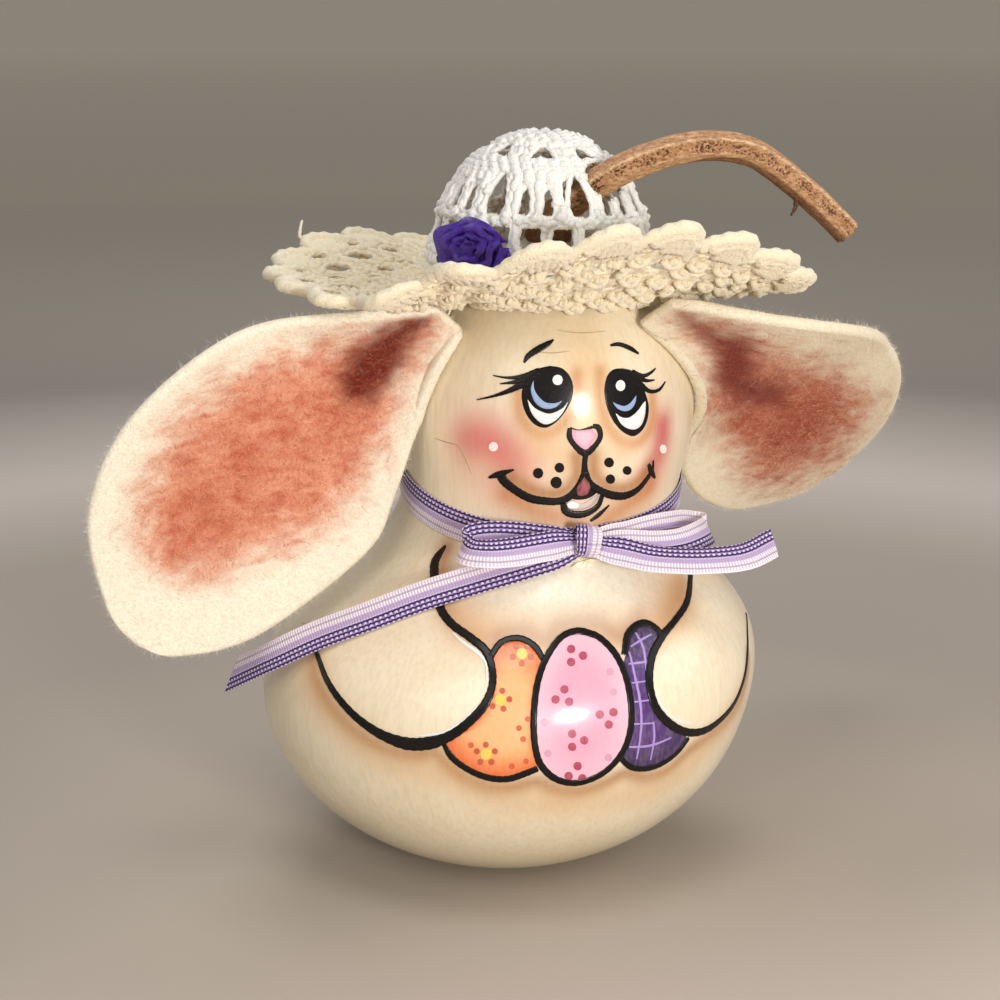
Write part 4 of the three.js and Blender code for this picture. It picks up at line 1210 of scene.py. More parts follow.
def hat_openings():
    """Every opening's outline, as angles and rows."""
    outlines = [np.array(outline, float) + (first + 360 / count * step, 0)
                for outline, count, first in CROWN_OPENINGS for step in range(count)]
    for row, count, first, wide, high in BRIM_EYELETS:
        for step in range(count):
            angle = first + 360 / count * step
            stretch = 1 + LEFT_STRETCH * max(0, -math.sin(math.radians(angle)))
            outlines.append(eyelet_outline(row, wide * stretch, high * stretch) + (angle, 0))
    return outlines


def grown(outline, margin):
    """An outline moved away from its middle by so many millimetres."""
    middle = outline.mean(0)
    step = hat_point(middle[1] + 0.5, middle[0]) - hat_point(middle[1] - 0.5, middle[0])
    scale = np.array((math.radians(1) * ring_radius(middle[1]), np.linalg.norm(step)))
    return outline + unit((outline - middle) * scale) * margin / scale


def inside(angles, rows, outline):
    """Which places lie inside an outline of angles and rows."""
    middle = outline[:, 0].mean()
    return within(half_turned(angles - middle) + middle, rows, outline)


class Weave:
    """The hat's map of open and closed places, and the yarn laid over the closed ones."""

    ROWS_STEP = 0.025
    ANGLE_STEP = 0.5
    STEM_ROOM = 5.0
    STEM_ROW = 0.99

    def __init__(self):
        self.pile = Pile()
        self.openings = hat_openings()
        rows = np.arange(0, 15.6, self.ROWS_STEP)
        angles = np.arange(-180, 180, self.ANGLE_STEP)
        grid_rows, grid_angles = np.meshgrid(rows, angles, indexing="ij")
        self.open = np.zeros(grid_rows.shape, bool)
        self.ground_open = self.open.copy()
        for outline in self.openings:
            self.open |= inside(grid_angles, grid_rows, grown(outline, YARN_MARGIN))
            self.ground_open |= inside(grid_angles, grid_rows, grown(outline, EDGING_MARGIN / 2))
        on_crown = (grid_rows > self.STEM_ROW) & (grid_rows < CROWN_ROWS - self.ROWS_STEP / 2)
        crown = hat_point(grid_rows[on_crown], grid_angles[on_crown])
        away = np.min([np.linalg.norm(crown - place, axis=-1) for place in stem_line(120)[::2]], axis=0)
        self.stem_hole = np.zeros(grid_rows.shape, bool)
        self.stem_hole[on_crown] = away < self.STEM_ROOM

    def at(self, rows, angles):
        row = np.clip((np.asarray(rows) / self.ROWS_STEP).astype(int), 0, self.open.shape[0] - 1)
        turned = np.mod(np.asarray(angles) + 180, 360)
        return row, np.minimum((turned / self.ANGLE_STEP).astype(int), self.open.shape[1] - 1)

    def yarn(self, rows, angles, lift, radius, sides, pitch, closed=False, edging=False, depth=0.2):
        """Yarn along rows and angles, raised from the surface by lift and cut wherever the hat is open."""
        rows, angles = np.broadcast_arrays(np.asarray(rows, float), np.asarray(angles, float))
        lift = np.broadcast_to(lift, rows.shape)
        radius = np.broadcast_to(radius, rows.shape)
        where = self.at(rows, angles)
        cut = self.stem_hole[where] if edging else self.open[where] | self.stem_hole[where]
        if not cut.any():
            self.lay(rows, angles, lift, radius, sides, pitch, closed, depth)
            return
        order = np.roll(np.arange(len(rows)), -int(np.argmax(cut))) if closed else np.arange(len(rows))
        kept = np.flatnonzero(~cut[order])
        if closed:
            angles = np.degrees(np.unwrap(np.radians(angles[order])))
            rows, lift, radius = rows[order], lift[order], radius[order]
        for run in np.split(kept, np.flatnonzero(np.diff(kept) > 1) + 1):
            if len(run) >= 3:
                self.lay(rows[run], angles[run], lift[run], radius[run], sides, pitch, False, depth)

    def lay(self, rows, angles, lift, radius, sides, pitch, closed, depth):
        out = hat_out(rows, angles)
        path = hat_point(rows, angles) + out * lift[:, None]
        points, faces = tube(path, out, radius, sides, closed, pitch, depth)
        self.pile.add(points, faces, yarn_color(rows.mean()))

    def ring(self, row, stitch, radius, lift, wobble=0.07):
        """A ring of chain stitches so many millimetres long: yarn that dips and rises once a stitch."""
        stitches = round(2 * np.pi * ring_radius(row) / stitch)
        angles = np.arange(stitches * 6) / (stitches * 6) * 360
        phase = np.radians(angles * stitches)
        thick = radius * (1 + 0.18 * np.sin(phase + 1))
        self.yarn(row + wobble * np.sin(phase), angles, lift + 0.4 * np.cos(phase), thick, 8, 3.4, True)

    def posts(self, top, bottom, spacing, radius, lean=2.0):
        """Upright stitches of two yarns between two rows, so many millimetres apart."""
        middle = (top + bottom) / 2
        count = round(2 * np.pi * ring_radius(middle) / spacing)
        t = np.linspace(0, 1, 8)
        belly = np.sin(np.pi * t)
        half = degrees_over(middle, radius * 0.72)
        for step in range(count):
            angle = step / count * 360 + random.uniform(-0.4, 0.4)
            for side in (-1, 1):
                angles = angle + lean * (t - 0.5) + side * half * (0.8 + 0.3 * belly)
                thick = radius * (0.9 + 0.15 * belly + random.uniform(-0.05, 0.05))
                self.yarn(top + (bottom - top) * t, angles, 0.2 + 0.3 * belly * side, thick, 7, 3.2)


# Yarn tones: white at the crown as painted light, cream the yarn's own colour, and the ground and inner side
# darker as painted shade
LIT_CROWN_YARN = (254, 252, 246)
CREAM_YARN = (252, 238, 206)
SHADED_GROUND_YARN = (228, 204, 160)
SHADED_INNER_YARN = (206, 184, 156)


def yarn_color(row):
    """Whiter at the crown as painted light from above, and cream towards the brim."""
    share = ease(row, 8.6, 10.2)
    return blended(linear(*LIT_CROWN_YARN), linear(*CREAM_YARN), share)


def scallop_shape(t):
    """The rise of one scallop's rim: a long slope up and a round right end."""
    return np.sin(np.pi * np.clip(t, 0, 1) ** 1.5) ** 0.7


def rim_row(angle):
    """The row of the brim's edge at an angle, for the ground under the scallops."""
    width = 360 / SCALLOPS
    t = np.mod(angle - SCALLOP_ANGLE + width * 0.65, width) / width
    return SCALLOP_BASE_ROW + SCALLOP_DEPTH * scallop_shape(t)


def add_crown(weave):
    for row in (0.3, 0.7, 1.1, 1.5, 1.8, 3.15, 3.5, 3.9, 4.2):
        weave.ring(row, 3.0, 0.95, 0.3)
    for top, bottom in ((0.3, 0.9), (0.9, 1.5), (1.5, 2.1), (2.1, 3.0), (3.0, 3.5), (3.5, 4.2)):
        weave.posts(top, bottom, 2.6, 0.85)
    weave.posts(4.1, 5.3, 2.6, 1.05, 0.0)
    weave.posts(5.2, 6.5, 2.7, 1.05, 0.0)
    for row in (6.48, 6.88):
        weave.ring(row, 3.1, 1.0, 0.4, 0.1)
    weave.posts(6.4, 7.0, 2.8, 0.85)
    weave.posts(6.9, 8.1, 2.4, 0.9, 0.0)
    for row in (8.05, 8.45, 8.85, 9.3):
        weave.ring(row, 3.3, 0.95, 0.3, 0.1)
    for top, bottom in ((8.0, 8.5), (8.5, 9.1), (9.1, 9.8)):
        weave.posts(top, bottom, 2.9, 0.85)


def add_brim(weave):
    for row in (9.95, 10.5, 10.95, 11.35, 11.95, 12.45, 13.2, 13.6):
        weave.ring(row, 4.4, 1.0, 0.35)
    bands = [(9.9, 10.6), (10.6, 11.4), (11.35, 11.95), (11.95, 12.5), (12.5, 13.2), (13.2, 13.9)]
    for top, bottom in bands:
        weave.posts(top, bottom, 4.2, 0.95, 1.2)
    add_underside(weave)
    for step in range(SCALLOPS):
        add_scallop(weave, SCALLOP_ANGLE + step * 360 / SCALLOPS)


def add_underside(weave):
    """The lumps of the double stitches that show on the brim's lower side, staggered row by row."""
    t = np.linspace(-1, 1, 9)
    for number, row in enumerate(np.arange(10.25, 13.8, 0.52)):
        count = round(2 * np.pi * ring_radius(row) / 8.8)
        half = degrees_over(row, 2.7)
        for step in range(count):
            angle = (step + 0.5 * (number % 2)) / count * 360 + random.uniform(-0.7, 0.7)
            if weave.open[weave.at(row, angle)]:
                continue
            shift = random.uniform(-0.05, 0.05)
            tall = random.uniform(0.85, 1.2)
            lift = -(0.45 + 0.95 * tall * (1 - t**2))
            rows = row + shift - 0.17 * tall * (1 - np.abs(t)) + 0.05 * t
            weave.yarn(rows, angle + half * t, lift, 1.15 * (1 - 0.3 * t**2), 9, 3.0)
            weave.yarn(rows[2:7] + 0.16, angle + 0.7 * half * t[2:7], lift[2:7] + 0.35, 0.95, 7, 3.0)


def add_scallop(weave, middle):
    """One scallop: a fan of stitches under a thick rolled rim."""
    width = 360 / SCALLOPS
    start = middle - 0.65 * width
    for step in range(8):
        share = (step + 0.5) / 8
        t = np.linspace(0, 1, 7)
        top = SCALLOP_BASE_ROW + SCALLOP_DEPTH * scallop_shape(share) - 0.05
        rows = SCALLOP_FOOT_ROW + (top - SCALLOP_FOOT_ROW) * t
        angles = start + width * (0.5 + (share - 0.5) * (0.72 + 0.24 * t))
        weave.yarn(rows, angles, -0.1 - 0.2 * np.sin(np.pi * t), 1.3, 8, 3.4, depth=0.12)
    t = np.linspace(-0.04, 1.06, 34)
    rows = SCALLOP_BASE_ROW + SCALLOP_DEPTH * scallop_shape(t) - 0.3 * ease(t, 0.96, 1.06) - 0.05
    bulge = np.sin(np.pi * np.clip(t, 0, 1))
    thick = RIM_RADIUS * (0.72 + 0.36 * bulge + 0.05 * np.sin(t * 40))
    weave.yarn(rows, start + width * t, 0.35 - 0.9 * ease(t, 0.9, 1.06), thick, 14, 3.6, depth=0.07)
    weave.yarn(rows - 0.2, start + width * (0.5 + (t - 0.5) * 0.86), -0.35, 1.25, 9, 3.4, depth=0.1)


def add_edgings(weave):
    for outline in weave.openings:
        border = grown(outline, EDGING_MARGIN)
        rim = spline(np.vstack([border, border[:1]]), 5 * len(border))[:-1]
        weave.yarn(rim[:, 1], rim[:, 0], 0.1, 0.7, 7, 2.8, closed=True, edging=True)


def add_ground(weave):
    """The dense ground behind the stitches, open where the hat is open, darker as painted shade between the
    stitches, inside the crown and under the brim.
    """
    columns = 360
    angles = -180 + np.arange(columns) / columns * 360
    rows = 0.05 + np.linspace(0, 1, 190)[:, None] * (rim_row(angles) - 0.1)
    angles = np.broadcast_to(angles, rows.shape)
    middle, out = hat_point(rows, angles), hat_out(rows, angles)
    centre = weave.at(rows[:-1] + 0.02, angles[:-1] + 0.5)
    kept = ~(weave.ground_open[centre] | weave.stem_hole[centre])
    faces = grid_faces(*rows.shape, wraps=True).reshape(len(rows) - 1, columns, 4)[kept]
    fuzz = 0.25 * rough(middle, 1.3, 8).reshape(rows.shape)
    yarn = yarn_color(rows.mean(1))
    brim = ease(rows.mean(1), 9.5, 10.5)
    for side, painted_shade_color, strength in ((0.5, SHADED_GROUND_YARN, 0.5), (-0.5, SHADED_INNER_YARN, 0.85)):
        shade = blended(linear(*painted_shade_color), linear(*SHADED_GROUND_YARN), brim)
        colors = np.repeat(blended(yarn, shade, strength), columns, axis=0)
        points = middle + out * (side * (1 + fuzz))[..., None]
        weave.pile.add(points, faces if side > 0 else faces[:, ::-1], colors)


def add_loose_end(weave):
    """The thread's loose end at the brim's left edge."""
    rows = spline([[14.5], [14.9], [15.1], [15.3]], 16)[:, 0]
    angles = spline([[-131], [-129.5], [-131.5], [-134]], 16)[:, 0]
    weave.yarn(rows, angles, np.linspace(0, 3.5, 16), np.linspace(0.55, 0.35, 16), 6, 2.0, edging=True)


def add_hat(material):
    weave = Weave()
    add_ground(weave)
    add_crown(weave)
    add_brim(weave)
    add_edgings(weave)
    add_loose_end(weave)
    hat = weave.pile.piece("crochet_yarn", material)
    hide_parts("crocheted_hat")
    finish_piece(hat, "gourd")
    fuzz = add_fuzz("crochet_fuzz", hat.data, 16000, (0.5, 1.5), 0.03, fuzz_material("cotton_fuzz"))
    finish_piece(fuzz, "gourd")


# Loose fibres that stand off a surface

def add_fuzz(name, mesh, count, lengths, half_width, material, weights=None, tone=None, stand=0.8,
             curl=0.35):
    """Short curved fibres over a mesh, in the colour of the points that they grow from or in one tone."""
    mesh.calc_loop_triangles()
    corners = read(mesh.loop_triangles, "vertices", 3, int)
    places = read(mesh.vertices, "co", 3) / MM
    tones = read(mesh.attributes["paint"].data, "color", 4)[:, :3]
    a, b, c = (places[corners[:, k]] for k in range(3))
    cross = np.cross(b - a, c - a)
    area = np.linalg.norm(cross, axis=1)
    if weights is not None:
        area = area * weights[corners[:, 0]]
    pick = random.choice(len(area), count, p=area / area.sum())
    mix = random.dirichlet((1, 1, 1), count)
    root = a[pick] * mix[:, :1] + b[pick] * mix[:, 1:2] + c[pick] * mix[:, 2:]
    normal = unit(cross[pick])
    wild = unit(random.normal(size=(count, 3)))
    wild -= normal * (wild * normal).sum(1, keepdims=True) * (1 - stand)
    along = unit(normal * stand + wild * 0.75)
    bend = unit(random.normal(size=(count, 3)))
    length = random.uniform(*lengths, count)[:, None]
    side = unit(np.cross(along, bend)) * half_width
    rows = []
    for step in (0.0, 0.35, 0.7, 1.0):
        middle = root + normal * 0.05 + along * length * step + bend * length * curl * step**2
        rows.append([middle - side * (1.05 - step), middle + side * (1.05 - step)])
    points = np.array(rows).transpose(2, 0, 1, 3).reshape(-1, 3)
    start = np.arange(count)[:, None] * 8
    faces = np.concatenate([start + 2 * k + np.array([[0, 1, 3, 2]]) for k in range(3)])
    tones = tones[corners[pick, 0]] if tone is None else np.broadcast_to(linear(*tone), (count, 3))
    colors = np.repeat(tones, 8, axis=0)
    return new_piece(name, points, faces, material, colors)


# Ribbon rose

def rose_frame():
    """The place behind the rose on the crown, and the directions across it, up it and out of the crown."""
    turn = math.acos((ROSE_HEIGHT / CROWN_HEIGHT) ** (1 / CROWN_SQUARENESS))
    row = CROWN_ROWS * (turn - CROWN_TOP_TURN) / (math.pi / 2 - CROWN_TOP_TURN)
    out = hat_out(np.array(row), np.array(float(ROSE_ANGLE)))
    across = unit(np.cross(np.array((0, 0, 1.0)), out))
    place = hat_point(row, ROSE_ANGLE) + out * (HAT_THICKNESS / 2 + ROSE_GAP)
    return place, across, np.cross(out, across), out


def add_petal(pile, turn, radius, width, height, roll, tip=0.0):
    """One fold of the ribbon: a strip that stands round the middle with its top edge rolled over."""
    place, across, up, out = rose_frame()
    lanes = np.linspace(-1, 1, 22)
    angles = turn + lanes * width / 2
    ends = 1 - 0.35 * np.abs(lanes) ** 3
    shares = np.linspace(0, 1, 12)
    rows = []
    for share in shares:
        curl = ease(share, 0.55, 1.0)
        swell = 0.93 * radius * (0.72 + 0.34 * share) + roll * curl + 0.035 * np.sin(angles * 7 + 9 * radius)
        lift = height * (share - 0.42 * curl * curl) * ends + 0.6 * np.sin(angles * 3.3 + share * 3 + turn)
        reach = swell * (1 + 0.06 * np.sin(angles * 4 + turn) + tip * np.exp(-((angles - turn) / 0.22) ** 2))
        rows.append(place + across * (reach * np.cos(angles) * ROSE_WIDTH / 2)[:, None]
                    + up * (reach * np.sin(angles) * ROSE_RISE / 2)[:, None]
                    + out * np.maximum(lift, 0.1)[:, None])
    pile.add(rows, grid_faces(len(shares), len(lanes)), (1, 1, 1))


# Folds of the rose: middle turn, radius, width in radians, height, roll, and how far it comes to a point
ROSE_FOLDS = [(-1.35, 0.92, 2.9, 4.4, 0.2, 0.0), (1.4, 0.84, 2.2, 4.6, 0.2, 0.0),
              (2.9, 0.88, 2.1, 4.4, 0.22, 0.0), (-0.35, 0.98, 0.9, 2.0, 0.05, 0.34),
              (-0.9, 0.66, 3.2, 5.6, 0.2, 0.0), (1.0, 0.62, 2.2, 6.0, 0.22, 0.0),
              (2.6, 0.64, 2.4, 5.6, 0.18, 0.0), (-2.2, 0.42, 2.8, 6.4, 0.16, 0.0),
              (0.2, 0.4, 2.6, 6.8, 0.16, 0.0), (1.9, 0.36, 2.4, 6.6, 0.14, 0.0),
              (0.8, 0.16, 4.2, 6.6, 0.1, 0.0)]


def add_rose(material):
    pile = Pile()
    for fold in ROSE_FOLDS:
        add_petal(pile, *fold)
    place, across, up, out = rose_frame()
    base = [place + (across * ROSE_WIDTH * math.cos(t) + up * ROSE_RISE * math.sin(t)) / 2 * s + out * h
            for s, h in ((0.5, 0.0), (0.86, 0.1), (0.8, 1.6), (0.3, 3.4)) for t in turns_round(40)]
    pile.add(base, tube_faces(4, 40), (1, 1, 1))
    rose = pile.piece("satin_rose", material)
    thickness = rose.modifiers.new("thickness", "SOLIDIFY")
    thickness.thickness = 0.28 * MM
    smooth = rose.modifiers.new("smooth", "SUBSURF")
    smooth.levels = smooth.render_levels = 1
    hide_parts("ribbon_rose")
    finish_piece(rose, "gourd")


# Ears

def ear_frame(ear):
    droop, sweep, lean = (math.radians(ear[key]) for key in ("droop", "sweep", "lean"))
    side = ear["side"]
    along = np.array((side * math.cos(droop) * math.cos(sweep), math.cos(droop) * math.sin(sweep),
                      -math.sin(droop)))
    level = np.array((side * math.sin(sweep), -math.cos(sweep), 0))
    upright = np.array((side * math.sin(droop) * math.cos(sweep), math.sin(droop) * math.sin(sweep),
                        math.cos(droop)))
    across = upright * math.cos(lean) - level * math.sin(lean)
    face = level * math.cos(lean) + upright * math.sin(lean)
    return along, across, face


def ear_point(ear, u, v):
    along, across, face = ear_frame(ear)
    fold = np.exp(-(u / EAR_FOLD_LENGTH) ** 2) * np.maximum(0, 1 - np.abs(v) / EAR_FOLD_HALF_WIDTH)
    cup = EAR_CUP * (v / EAR_FOLD_LENGTH) ** 2 * np.exp(-u / (3 * EAR_FOLD_LENGTH))
    curl = ear["curl"] * (u / EAR_LENGTH) ** 2
    root = gourd_point(ear["angle"], ear["height"], EAR_GLUE_GAP + EAR_THICKNESS / 2)
    lift = cup + curl - EAR_FOLD_DEPTH * fold * ease(u, 0, EAR_FOLD_LENGTH / 2)
    points = root + along * u[..., None] + across * v[..., None] + face * lift[..., None]
    dx = points[..., 0] - axis_shift(points[..., 2])
    wrap, wrap_length = ear["wrap"]
    held = 1 - ease(u, 0, wrap_length)
    turn = np.arctan2(dx, -points[..., 1]) - ear["side"] * np.radians(wrap) * held
    reach = np.hypot(dx, points[..., 1])
    points = np.stack([axis_shift(points[..., 2]) + reach * np.sin(turn), -reach * np.cos(turn),
                       points[..., 2] + ear["rise"] * held], -1)
    return keep_off_gourd(points, EAR_THICKNESS / 2 + EAR_HEAD_GAP)


def ear_surface(ear):
    """The ear's middle surface as a grid, with each point's distance from the cut edge."""
    stations, lanes = 120, 56
    t = np.sin(np.linspace(0, np.pi / 2, stations)) ** 1.15
    t = np.minimum(t, 0.997)
    fine = 2001
    above, below = (spline(ear[edge], fine, 0) for edge in ("above", "below"))
    index = np.rint(t * (fine - 1)).astype(int)
    share = (1 - np.cos(np.linspace(0, np.pi, lanes))) / 2
    place = below[index][:, None] + (above[index] - below[index])[:, None] * share[None, :, None]
    middle = ear_point(ear, place[..., 0], place[..., 1])
    width = np.linalg.norm(middle[:, -1] - middle[:, 0], axis=1)[:, None]
    from_sides = np.minimum(share, 1 - share)[None] * width
    from_ends = np.minimum(place[..., 0], place[-1, lanes // 2, 0] - place[..., 0])
    return middle, np.minimum(from_sides, np.maximum(from_ends, 0))


# The chalk on each ear, in the photo's pixels: outlines of the blush and of its dark core, where the deepest
# chalk is darkened further as painted shade in the fold at the root, and darker dabs
CHALK_LEFT = {
    "blush": [(440, 314), (392, 326), (345, 342), (300, 356), (254, 366), (222, 390), (186, 420), (160, 455),
              (143, 495), (140, 535), (160, 566), (200, 578), (240, 562), (285, 545), (330, 520), (362, 480),
              (384, 430), (398, 385), (420, 345), (442, 322)],
    "shaded_core": [(436, 312), (404, 318), (376, 332), (352, 354), (338, 382), (346, 402), (372, 400), (394, 376),
             (410, 344)],
    "dabs": [((249, 464), 26, 0.5), ((206, 508), 24, 0.6), ((190, 548), 16, 0.5), ((340, 420), 34, 0.35)],
    "chalk": (232, 150, 112), "dark": (196, 92, 62), "deep_chalk_in_shade": (112, 30, 14)}
CHALK_RIGHT = {
    "blush": [(672, 310), (700, 320), (722, 330), (750, 335), (774, 352), (798, 366), (828, 373), (848, 386),
              (868, 403), (854, 425), (838, 450), (813, 467), (774, 482), (750, 478), (742, 453), (717, 430),
              (707, 405), (714, 354), (690, 331)],
    "shaded_core": [(680, 314), (718, 334), (747, 337), (752, 353), (751, 378), (787, 390), (784, 405), (750, 401),
             (726, 394), (714, 378), (716, 350)],
    "dabs": [((800, 425), 26, 0.7), ((825, 395), 24, 0.5), ((770, 440), 22, 0.4), ((740, 420), 20, 0.4)],
    "chalk": (206, 124, 90), "dark": (166, 70, 44), "deep_chalk_in_shade": (128, 40, 22)}
PALE_CURL = (240, 176, 140)


def inside_distance(pixels, outline):
    """Distance in pixels from a closed outline, positive inside."""
    outline = np.array(outline, float)
    least = np.full(len(pixels), np.inf)
    for start, end in zip(outline, np.roll(outline, -1, 0)):
        span = end - start
        t = np.clip(((pixels - start) @ span) / (span @ span), 0, 1)
        least = np.minimum(least, np.linalg.norm(pixels - start - t[:, None] * span, axis=1))
    return np.where(within(pixels[:, 0], pixels[:, 1], outline), least, -least)


def chalk_weight(points, chalk):
    """Where the photo shows each point of the ear, and how much chalk it carries."""
    seen = pixels_of(points)
    ragged = 16 * rough(points, 4.5, 21) + 12 * rough(points, 1.4, 22)
    return seen, ease(inside_distance(seen, chalk["blush"]) + ragged, -34, 30)


def ear_colors(points, chalk, shade):
    """Chalk and its darker dabs over the felt's tone, and the deepest chalk darkened as painted shade in the
    fold at the root.
    """
    seen, weight = chalk_weight(points, chalk)
    blotches = ease(rough(points, 5.5, 23), -0.1, 0.5)
    mottle = ease(rough(points, 1.1, 24), -0.1, 0.4)
    dabs = sum(strength * np.exp(-((seen - place) ** 2).sum(1) / reach**2)
               for place, reach, strength in chalk["dabs"])
    shaded_core = ease(inside_distance(seen, chalk["shaded_core"]) + 6 * rough(points, 2.5, 25), -15, 13)
    # The deepest layer, in the core, is chalk darkened as painted shade in the fold at the root
    layers = [("chalk", 0.9 * weight), ("dark", weight * (0.3 * blotches + 0.5 * mottle)),
              ("dark", weight * np.clip(dabs, 0, 0.7)), ("deep_chalk_in_shade", 0.96 * shaded_core)]
    colors = np.broadcast_to(linear(*shade), points.shape)
    for tone, share in layers:
        colors = blended(colors, linear(*chalk[tone]), share)
    return colors


def add_ear(name, ear, chalk, shade, material):
    """One thick felt ear with a rounded cut edge and a fibrous halo."""
    middle, inward = ear_surface(ear)
    along, _, face = ear_frame(ear)
    half = EAR_THICKNESS / 2
    swell = np.sqrt(np.maximum(half**2 - (half - np.clip(inward, 0, half)) ** 2, 0))
    normal = unit(np.cross(np.gradient(middle, axis=0), np.gradient(middle, axis=1)))
    if np.sum(normal * face) < 0:
        normal = -normal
    sides = []
    for sign in (1, -1):
        lumps = rough(middle, 2.4, 5 + sign).reshape(inward.shape) * 0.16 * (swell / half)
        sides.append((middle + normal * (sign * (swell + lumps))[..., None]).reshape(-1, 3))
    plain = np.broadcast_to(linear(*shade), sides[0].shape)
    rubbed = blended(plain, ear_colors(sides[0], chalk, shade), ease(inward.ravel(), 0.6, 3.0))
    faces = grid_faces(*inward.shape)
    faces = np.concatenate([faces, faces[:, ::-1] + inward.size])
    shares = np.meshgrid(*(np.linspace(0, 1, count) for count in inward.shape), indexing="ij")
    uv = np.tile(np.stack(shares, -1).reshape(-1, 2), (2, 1))
    felt = new_piece(f"felt_{name}", sides, faces, material, np.concatenate([rubbed, plain]), uv)
    outward(felt)
    fibre = fuzz_material(f"fibre_{name}")
    fuzz = add_fuzz(f"fuzz_{name}", felt.data, 14000, (0.6, 1.6), 0.03, fibre)
    halo = add_fuzz(f"halo_{name}", felt.data, 2600, (1.6, 3.2), 0.022, fibre)
    front = read(felt.data.vertices, "normal", 3) @ face > 0.2
    seen, chalked = chalk_weight(read(felt.data.vertices, "co", 3) / MM, chalk)
    chalked = chalked**2 * front
    clear = 1 - ease(inside_distance(seen, chalk["shaded_core"]), -20, 5)
    dark_curls = add_fuzz(f"dark_curls_{name}", felt.data, 3600, (0.9, 2.3), 0.04, fibre, chalked,
                          chalk["dark"], 0.1, 0.8)
    pale_curls = add_fuzz(f"pale_curls_{name}", felt.data, 2400, (0.9, 2.2), 0.04, fibre, chalked * clear,
                          PALE_CURL, 0.1, 0.8)
    for piece in (felt, fuzz, halo, dark_curls, pale_curls):
        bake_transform(piece)
    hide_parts(name)


# Ribbons

def band_z(angle):
    return BAND_HEIGHT - BAND_TILT * np.cos(np.radians(angle))


def add_ribbon(name, node, centres, widths, material, dark_above=True, closed=False, slant=0.0,
               half=RIBBON_WIDTH / 2):
    """A strip of ribbon from its middle line, the direction of its width and half its width."""
    count = len(centres)
    half = np.broadcast_to(half, (count,))[:, None]
    tangent = directions_along(centres, closed)
    widths = unit(widths - tangent * (widths * tangent).sum(1, keepdims=True))
    out = np.cross(widths, tangent)
    lanes = np.linspace(-1, 1, 17)
    loop = [(lane, side) for side in (1, -1) for lane in lanes * side]
    trim = slant * ease(np.linspace(0, 1, count), 0.94, 1)
    length = length_along(centres)
    gather = np.zeros(count) if closed else 1 - half[:, 0] / (RIBBON_WIDTH / 2)
    points, uv = np.zeros((count, len(loop), 3)), np.zeros((count, len(loop), 2))
    for k, (lane, side) in enumerate(loop):
        puff = side * RIBBON_THICKNESS / 2 * np.sqrt(max(0.15, 1 - abs(lane) ** 6))
        crease = 0.9 * gather * math.cos(lane * 9)
        points[:, k] = centres + widths * (lane * half) + out * (puff + crease)[:, None]
        points[:, k] += tangent * (lane * trim)[:, None]
        uv[:, k, 0] = (length + lane * trim) / RIBBON_WIDTH
        uv[:, k, 1] = (lane + 1) / 2 if dark_above else (1 - lane) / 2
    faces = tube_faces(count, len(loop), closed)
    ribbon = new_piece(name, points, faces, material, uv=uv.reshape(-1, 2))
    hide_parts(node)
    finish_piece(ribbon, "gourd")


def route_ribbon(name, node, route, material, dark_above, slant=0.0, pinched=(True, True), upright=0.0):
    """A stretch of the bow along its route, gathered where it goes into the knot."""
    angle, height, distance = np.array(route, float).T
    places = gourd_point(angle, band_z(0) + height, distance)
    ups = skin_up(angle, band_z(0) + height) * (1 - upright) + np.array((0, 0, upright))
    count = 50 * len(route)
    line = spline(places, count)
    length = length_along(line)
    narrow = np.zeros(count)
    for ends, away in zip(pinched, (length, length[-1] - length)):
        narrow = np.maximum(narrow, (1 - ease(away, 1, PINCH_LENGTH)) * ends)
    half = RIBBON_WIDTH / 2 * (1 - PINCH * narrow)
    add_ribbon(name, node, line, spline(ups, count), material, dark_above, slant=slant, half=half)


def add_bow(material):
    angles = np.linspace(-180, 180, 420, endpoint=False)
    z = band_z(angles)
    band = gourd_point(angles, z, RIBBON_GAP + RIBBON_THICKNESS / 2)
    add_ribbon("neck_band", "neck_ribbon", band, skin_up(angles, z), material, True, closed=True)
    hidden = (0, -0.5, KNOT_GAP + 1.6)
    route_ribbon("loop_left", "bow_loop_left", [hidden, *LOOP_LEFT, hidden], material, True)
    route_ribbon("loop_right", "bow_loop_right", [hidden, *LOOP_RIGHT, hidden], material, False)
    lifted = [(angle, height, distance + TAIL_STAND_OFF) for angle, height, distance in TAIL_LEFT]
    route_ribbon("tail_left", "bow_tail_left", [hidden, *lifted], material, False, -5, (True, False), 0.6)
    route_ribbon("tail_right", "bow_tail_right", [hidden, *TAIL_RIGHT], material, True, 1.5, (True, False))
    add_knot(material)


def add_knot(material):
    """The knot: one turn of the ribbon drawn tight over the middle, leaning a little."""
    centre = gourd_point(0.0, band_z(0), KNOT_GAP + KNOT_DEPTH / 2)
    turns = turns_round(160)
    round_off = np.sign(np.sin(turns)) * np.abs(np.sin(turns)) ** 0.8
    path = np.stack([centre[0] + 0.5 * np.sin(turns), centre[1] - np.cos(turns) * (KNOT_DEPTH / 2 + 0.2),
                     centre[2] + round_off * (KNOT_HEIGHT / 2 - 0.2)], -1)
    widths = np.broadcast_to(np.array((-1.0, 0, 0.2)), path.shape)
    half = KNOT_WIDTH / 2 * (0.88 + 0.1 * np.sin(turns * 2 + 0.5))
    add_ribbon("knot_wrap", "bow_knot", path, widths, material, True, closed=True, half=half)


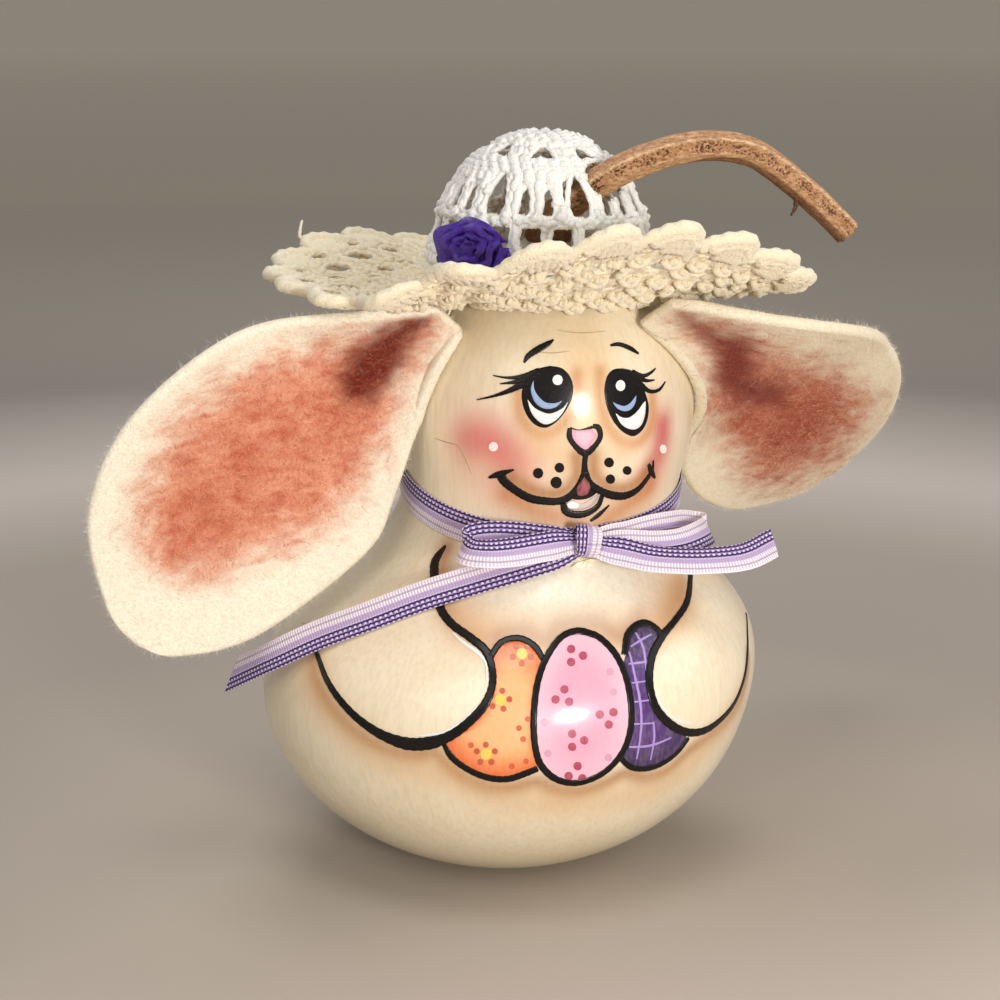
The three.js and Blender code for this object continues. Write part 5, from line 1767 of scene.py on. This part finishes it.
def add_glue_dab(material):
    """The dab of glue that was pressed out under the knot."""
    angle, height = skin_at((583, 562))
    turns, shares = np.meshgrid(turns_round(48), np.linspace(0, 1, 14))
    lumps = 1 + 0.25 * np.sin(turns * 3 + 1) + 0.15 * np.sin(turns * 7)
    angles = angle + np.degrees(3.6 / gourd_radius(height)) * shares * lumps * np.cos(turns)
    heights = height + 1.3 * shares * lumps * np.sin(turns)
    rise = 1.1 * np.sqrt(np.maximum(1 - shares**2, 0)) * (1 + 0.2 * np.sin(turns * 4)) - 0.1
    points = gourd_point(angles, heights, rise)
    dab = new_piece("glue_dab", points, grid_faces(14, 48, wraps=True), material)
    finish_piece(dab, "gourd")


# Floor and lights

def add_floor():
    size = 30000
    corners = [(-size, -size, 0), (size, -size, 0), (size, size, 0), (-size, size, 0)]
    floor = new_piece("floor", corners, [[0, 1, 2, 3]], floor_material())


# Lamps: degrees round and up, distance and size in millimetres, power and colour
LIGHTS = {
    "key": (-45, 34, 900, 520, 1.3, (1.0, 0.985, 0.955)),
    "front": (9, 7, 850, 190, 4.4, (1.0, 0.985, 0.96)),
    "top": (-25, 72, 950, 420, 1.9, (1.0, 0.985, 0.96)),
    "fill": (70, 30, 1100, 700, 1.7, (1.0, 0.985, 0.97)),
    "back": (170, 45, 1000, 600, 3.2, (1.0, 0.985, 0.97))}
LIGHT_TARGET = np.array((0, 0, 90.0))
WORLD_COLOR = (0.96, 0.97, 1.0, 1)
WORLD_STRENGTH = 0.35


def add_light(name, azimuth, elevation, distance, size, power, color):
    data = bpy.data.lights.new(name, "AREA")
    data.shape = "DISK"
    data.size = size * MM
    data.energy = power
    data.color = color
    light = bpy.data.objects.new(name, data)
    aim(light, LIGHT_TARGET + direction(azimuth, elevation) * distance, LIGHT_TARGET)


def add_lights():
    for name, values in LIGHTS.items():
        add_light(name, *values)
    world = bpy.data.worlds.new("world")
    world.use_nodes = True
    background = world.node_tree.nodes["Background"]
    background.inputs["Color"].default_value = WORLD_COLOR
    background.inputs["Strength"].default_value = WORLD_STRENGTH
    bpy.context.scene.world = world


def dress_nodes():
    """The CAD nodes that stay get their materials."""
    husk, glue = husk_material(), glue_material()
    add_glue_dab(glue)
    for name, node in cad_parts.items():
        if name.startswith("seed_"):
            material = husk
        elif "glue" in name:
            material = glue
        else:
            continue
        node.data.materials.clear()
        node.data.materials.append(material)


def main():
    add_camera()
    add_floor()
    add_lights()
    dress_nodes()
    add_gourd(painted_gourd_material())
    add_painting()
    add_stem(bark_material())
    add_hat(yarn_material())
    add_rose(satin_material())
    felt = felt_material()
    # The same felt, given lighter on the left ear and darker on the right as painted light and shade
    add_ear("ear_left", EAR_LEFT, CHALK_LEFT, (252, 243, 220), felt)
    add_ear("ear_right", EAR_RIGHT, CHALK_RIGHT, (246, 234, 206), felt)
    add_bow(ribbon_material())
    bpy.context.scene.view_settings.view_transform = "Standard"


main()
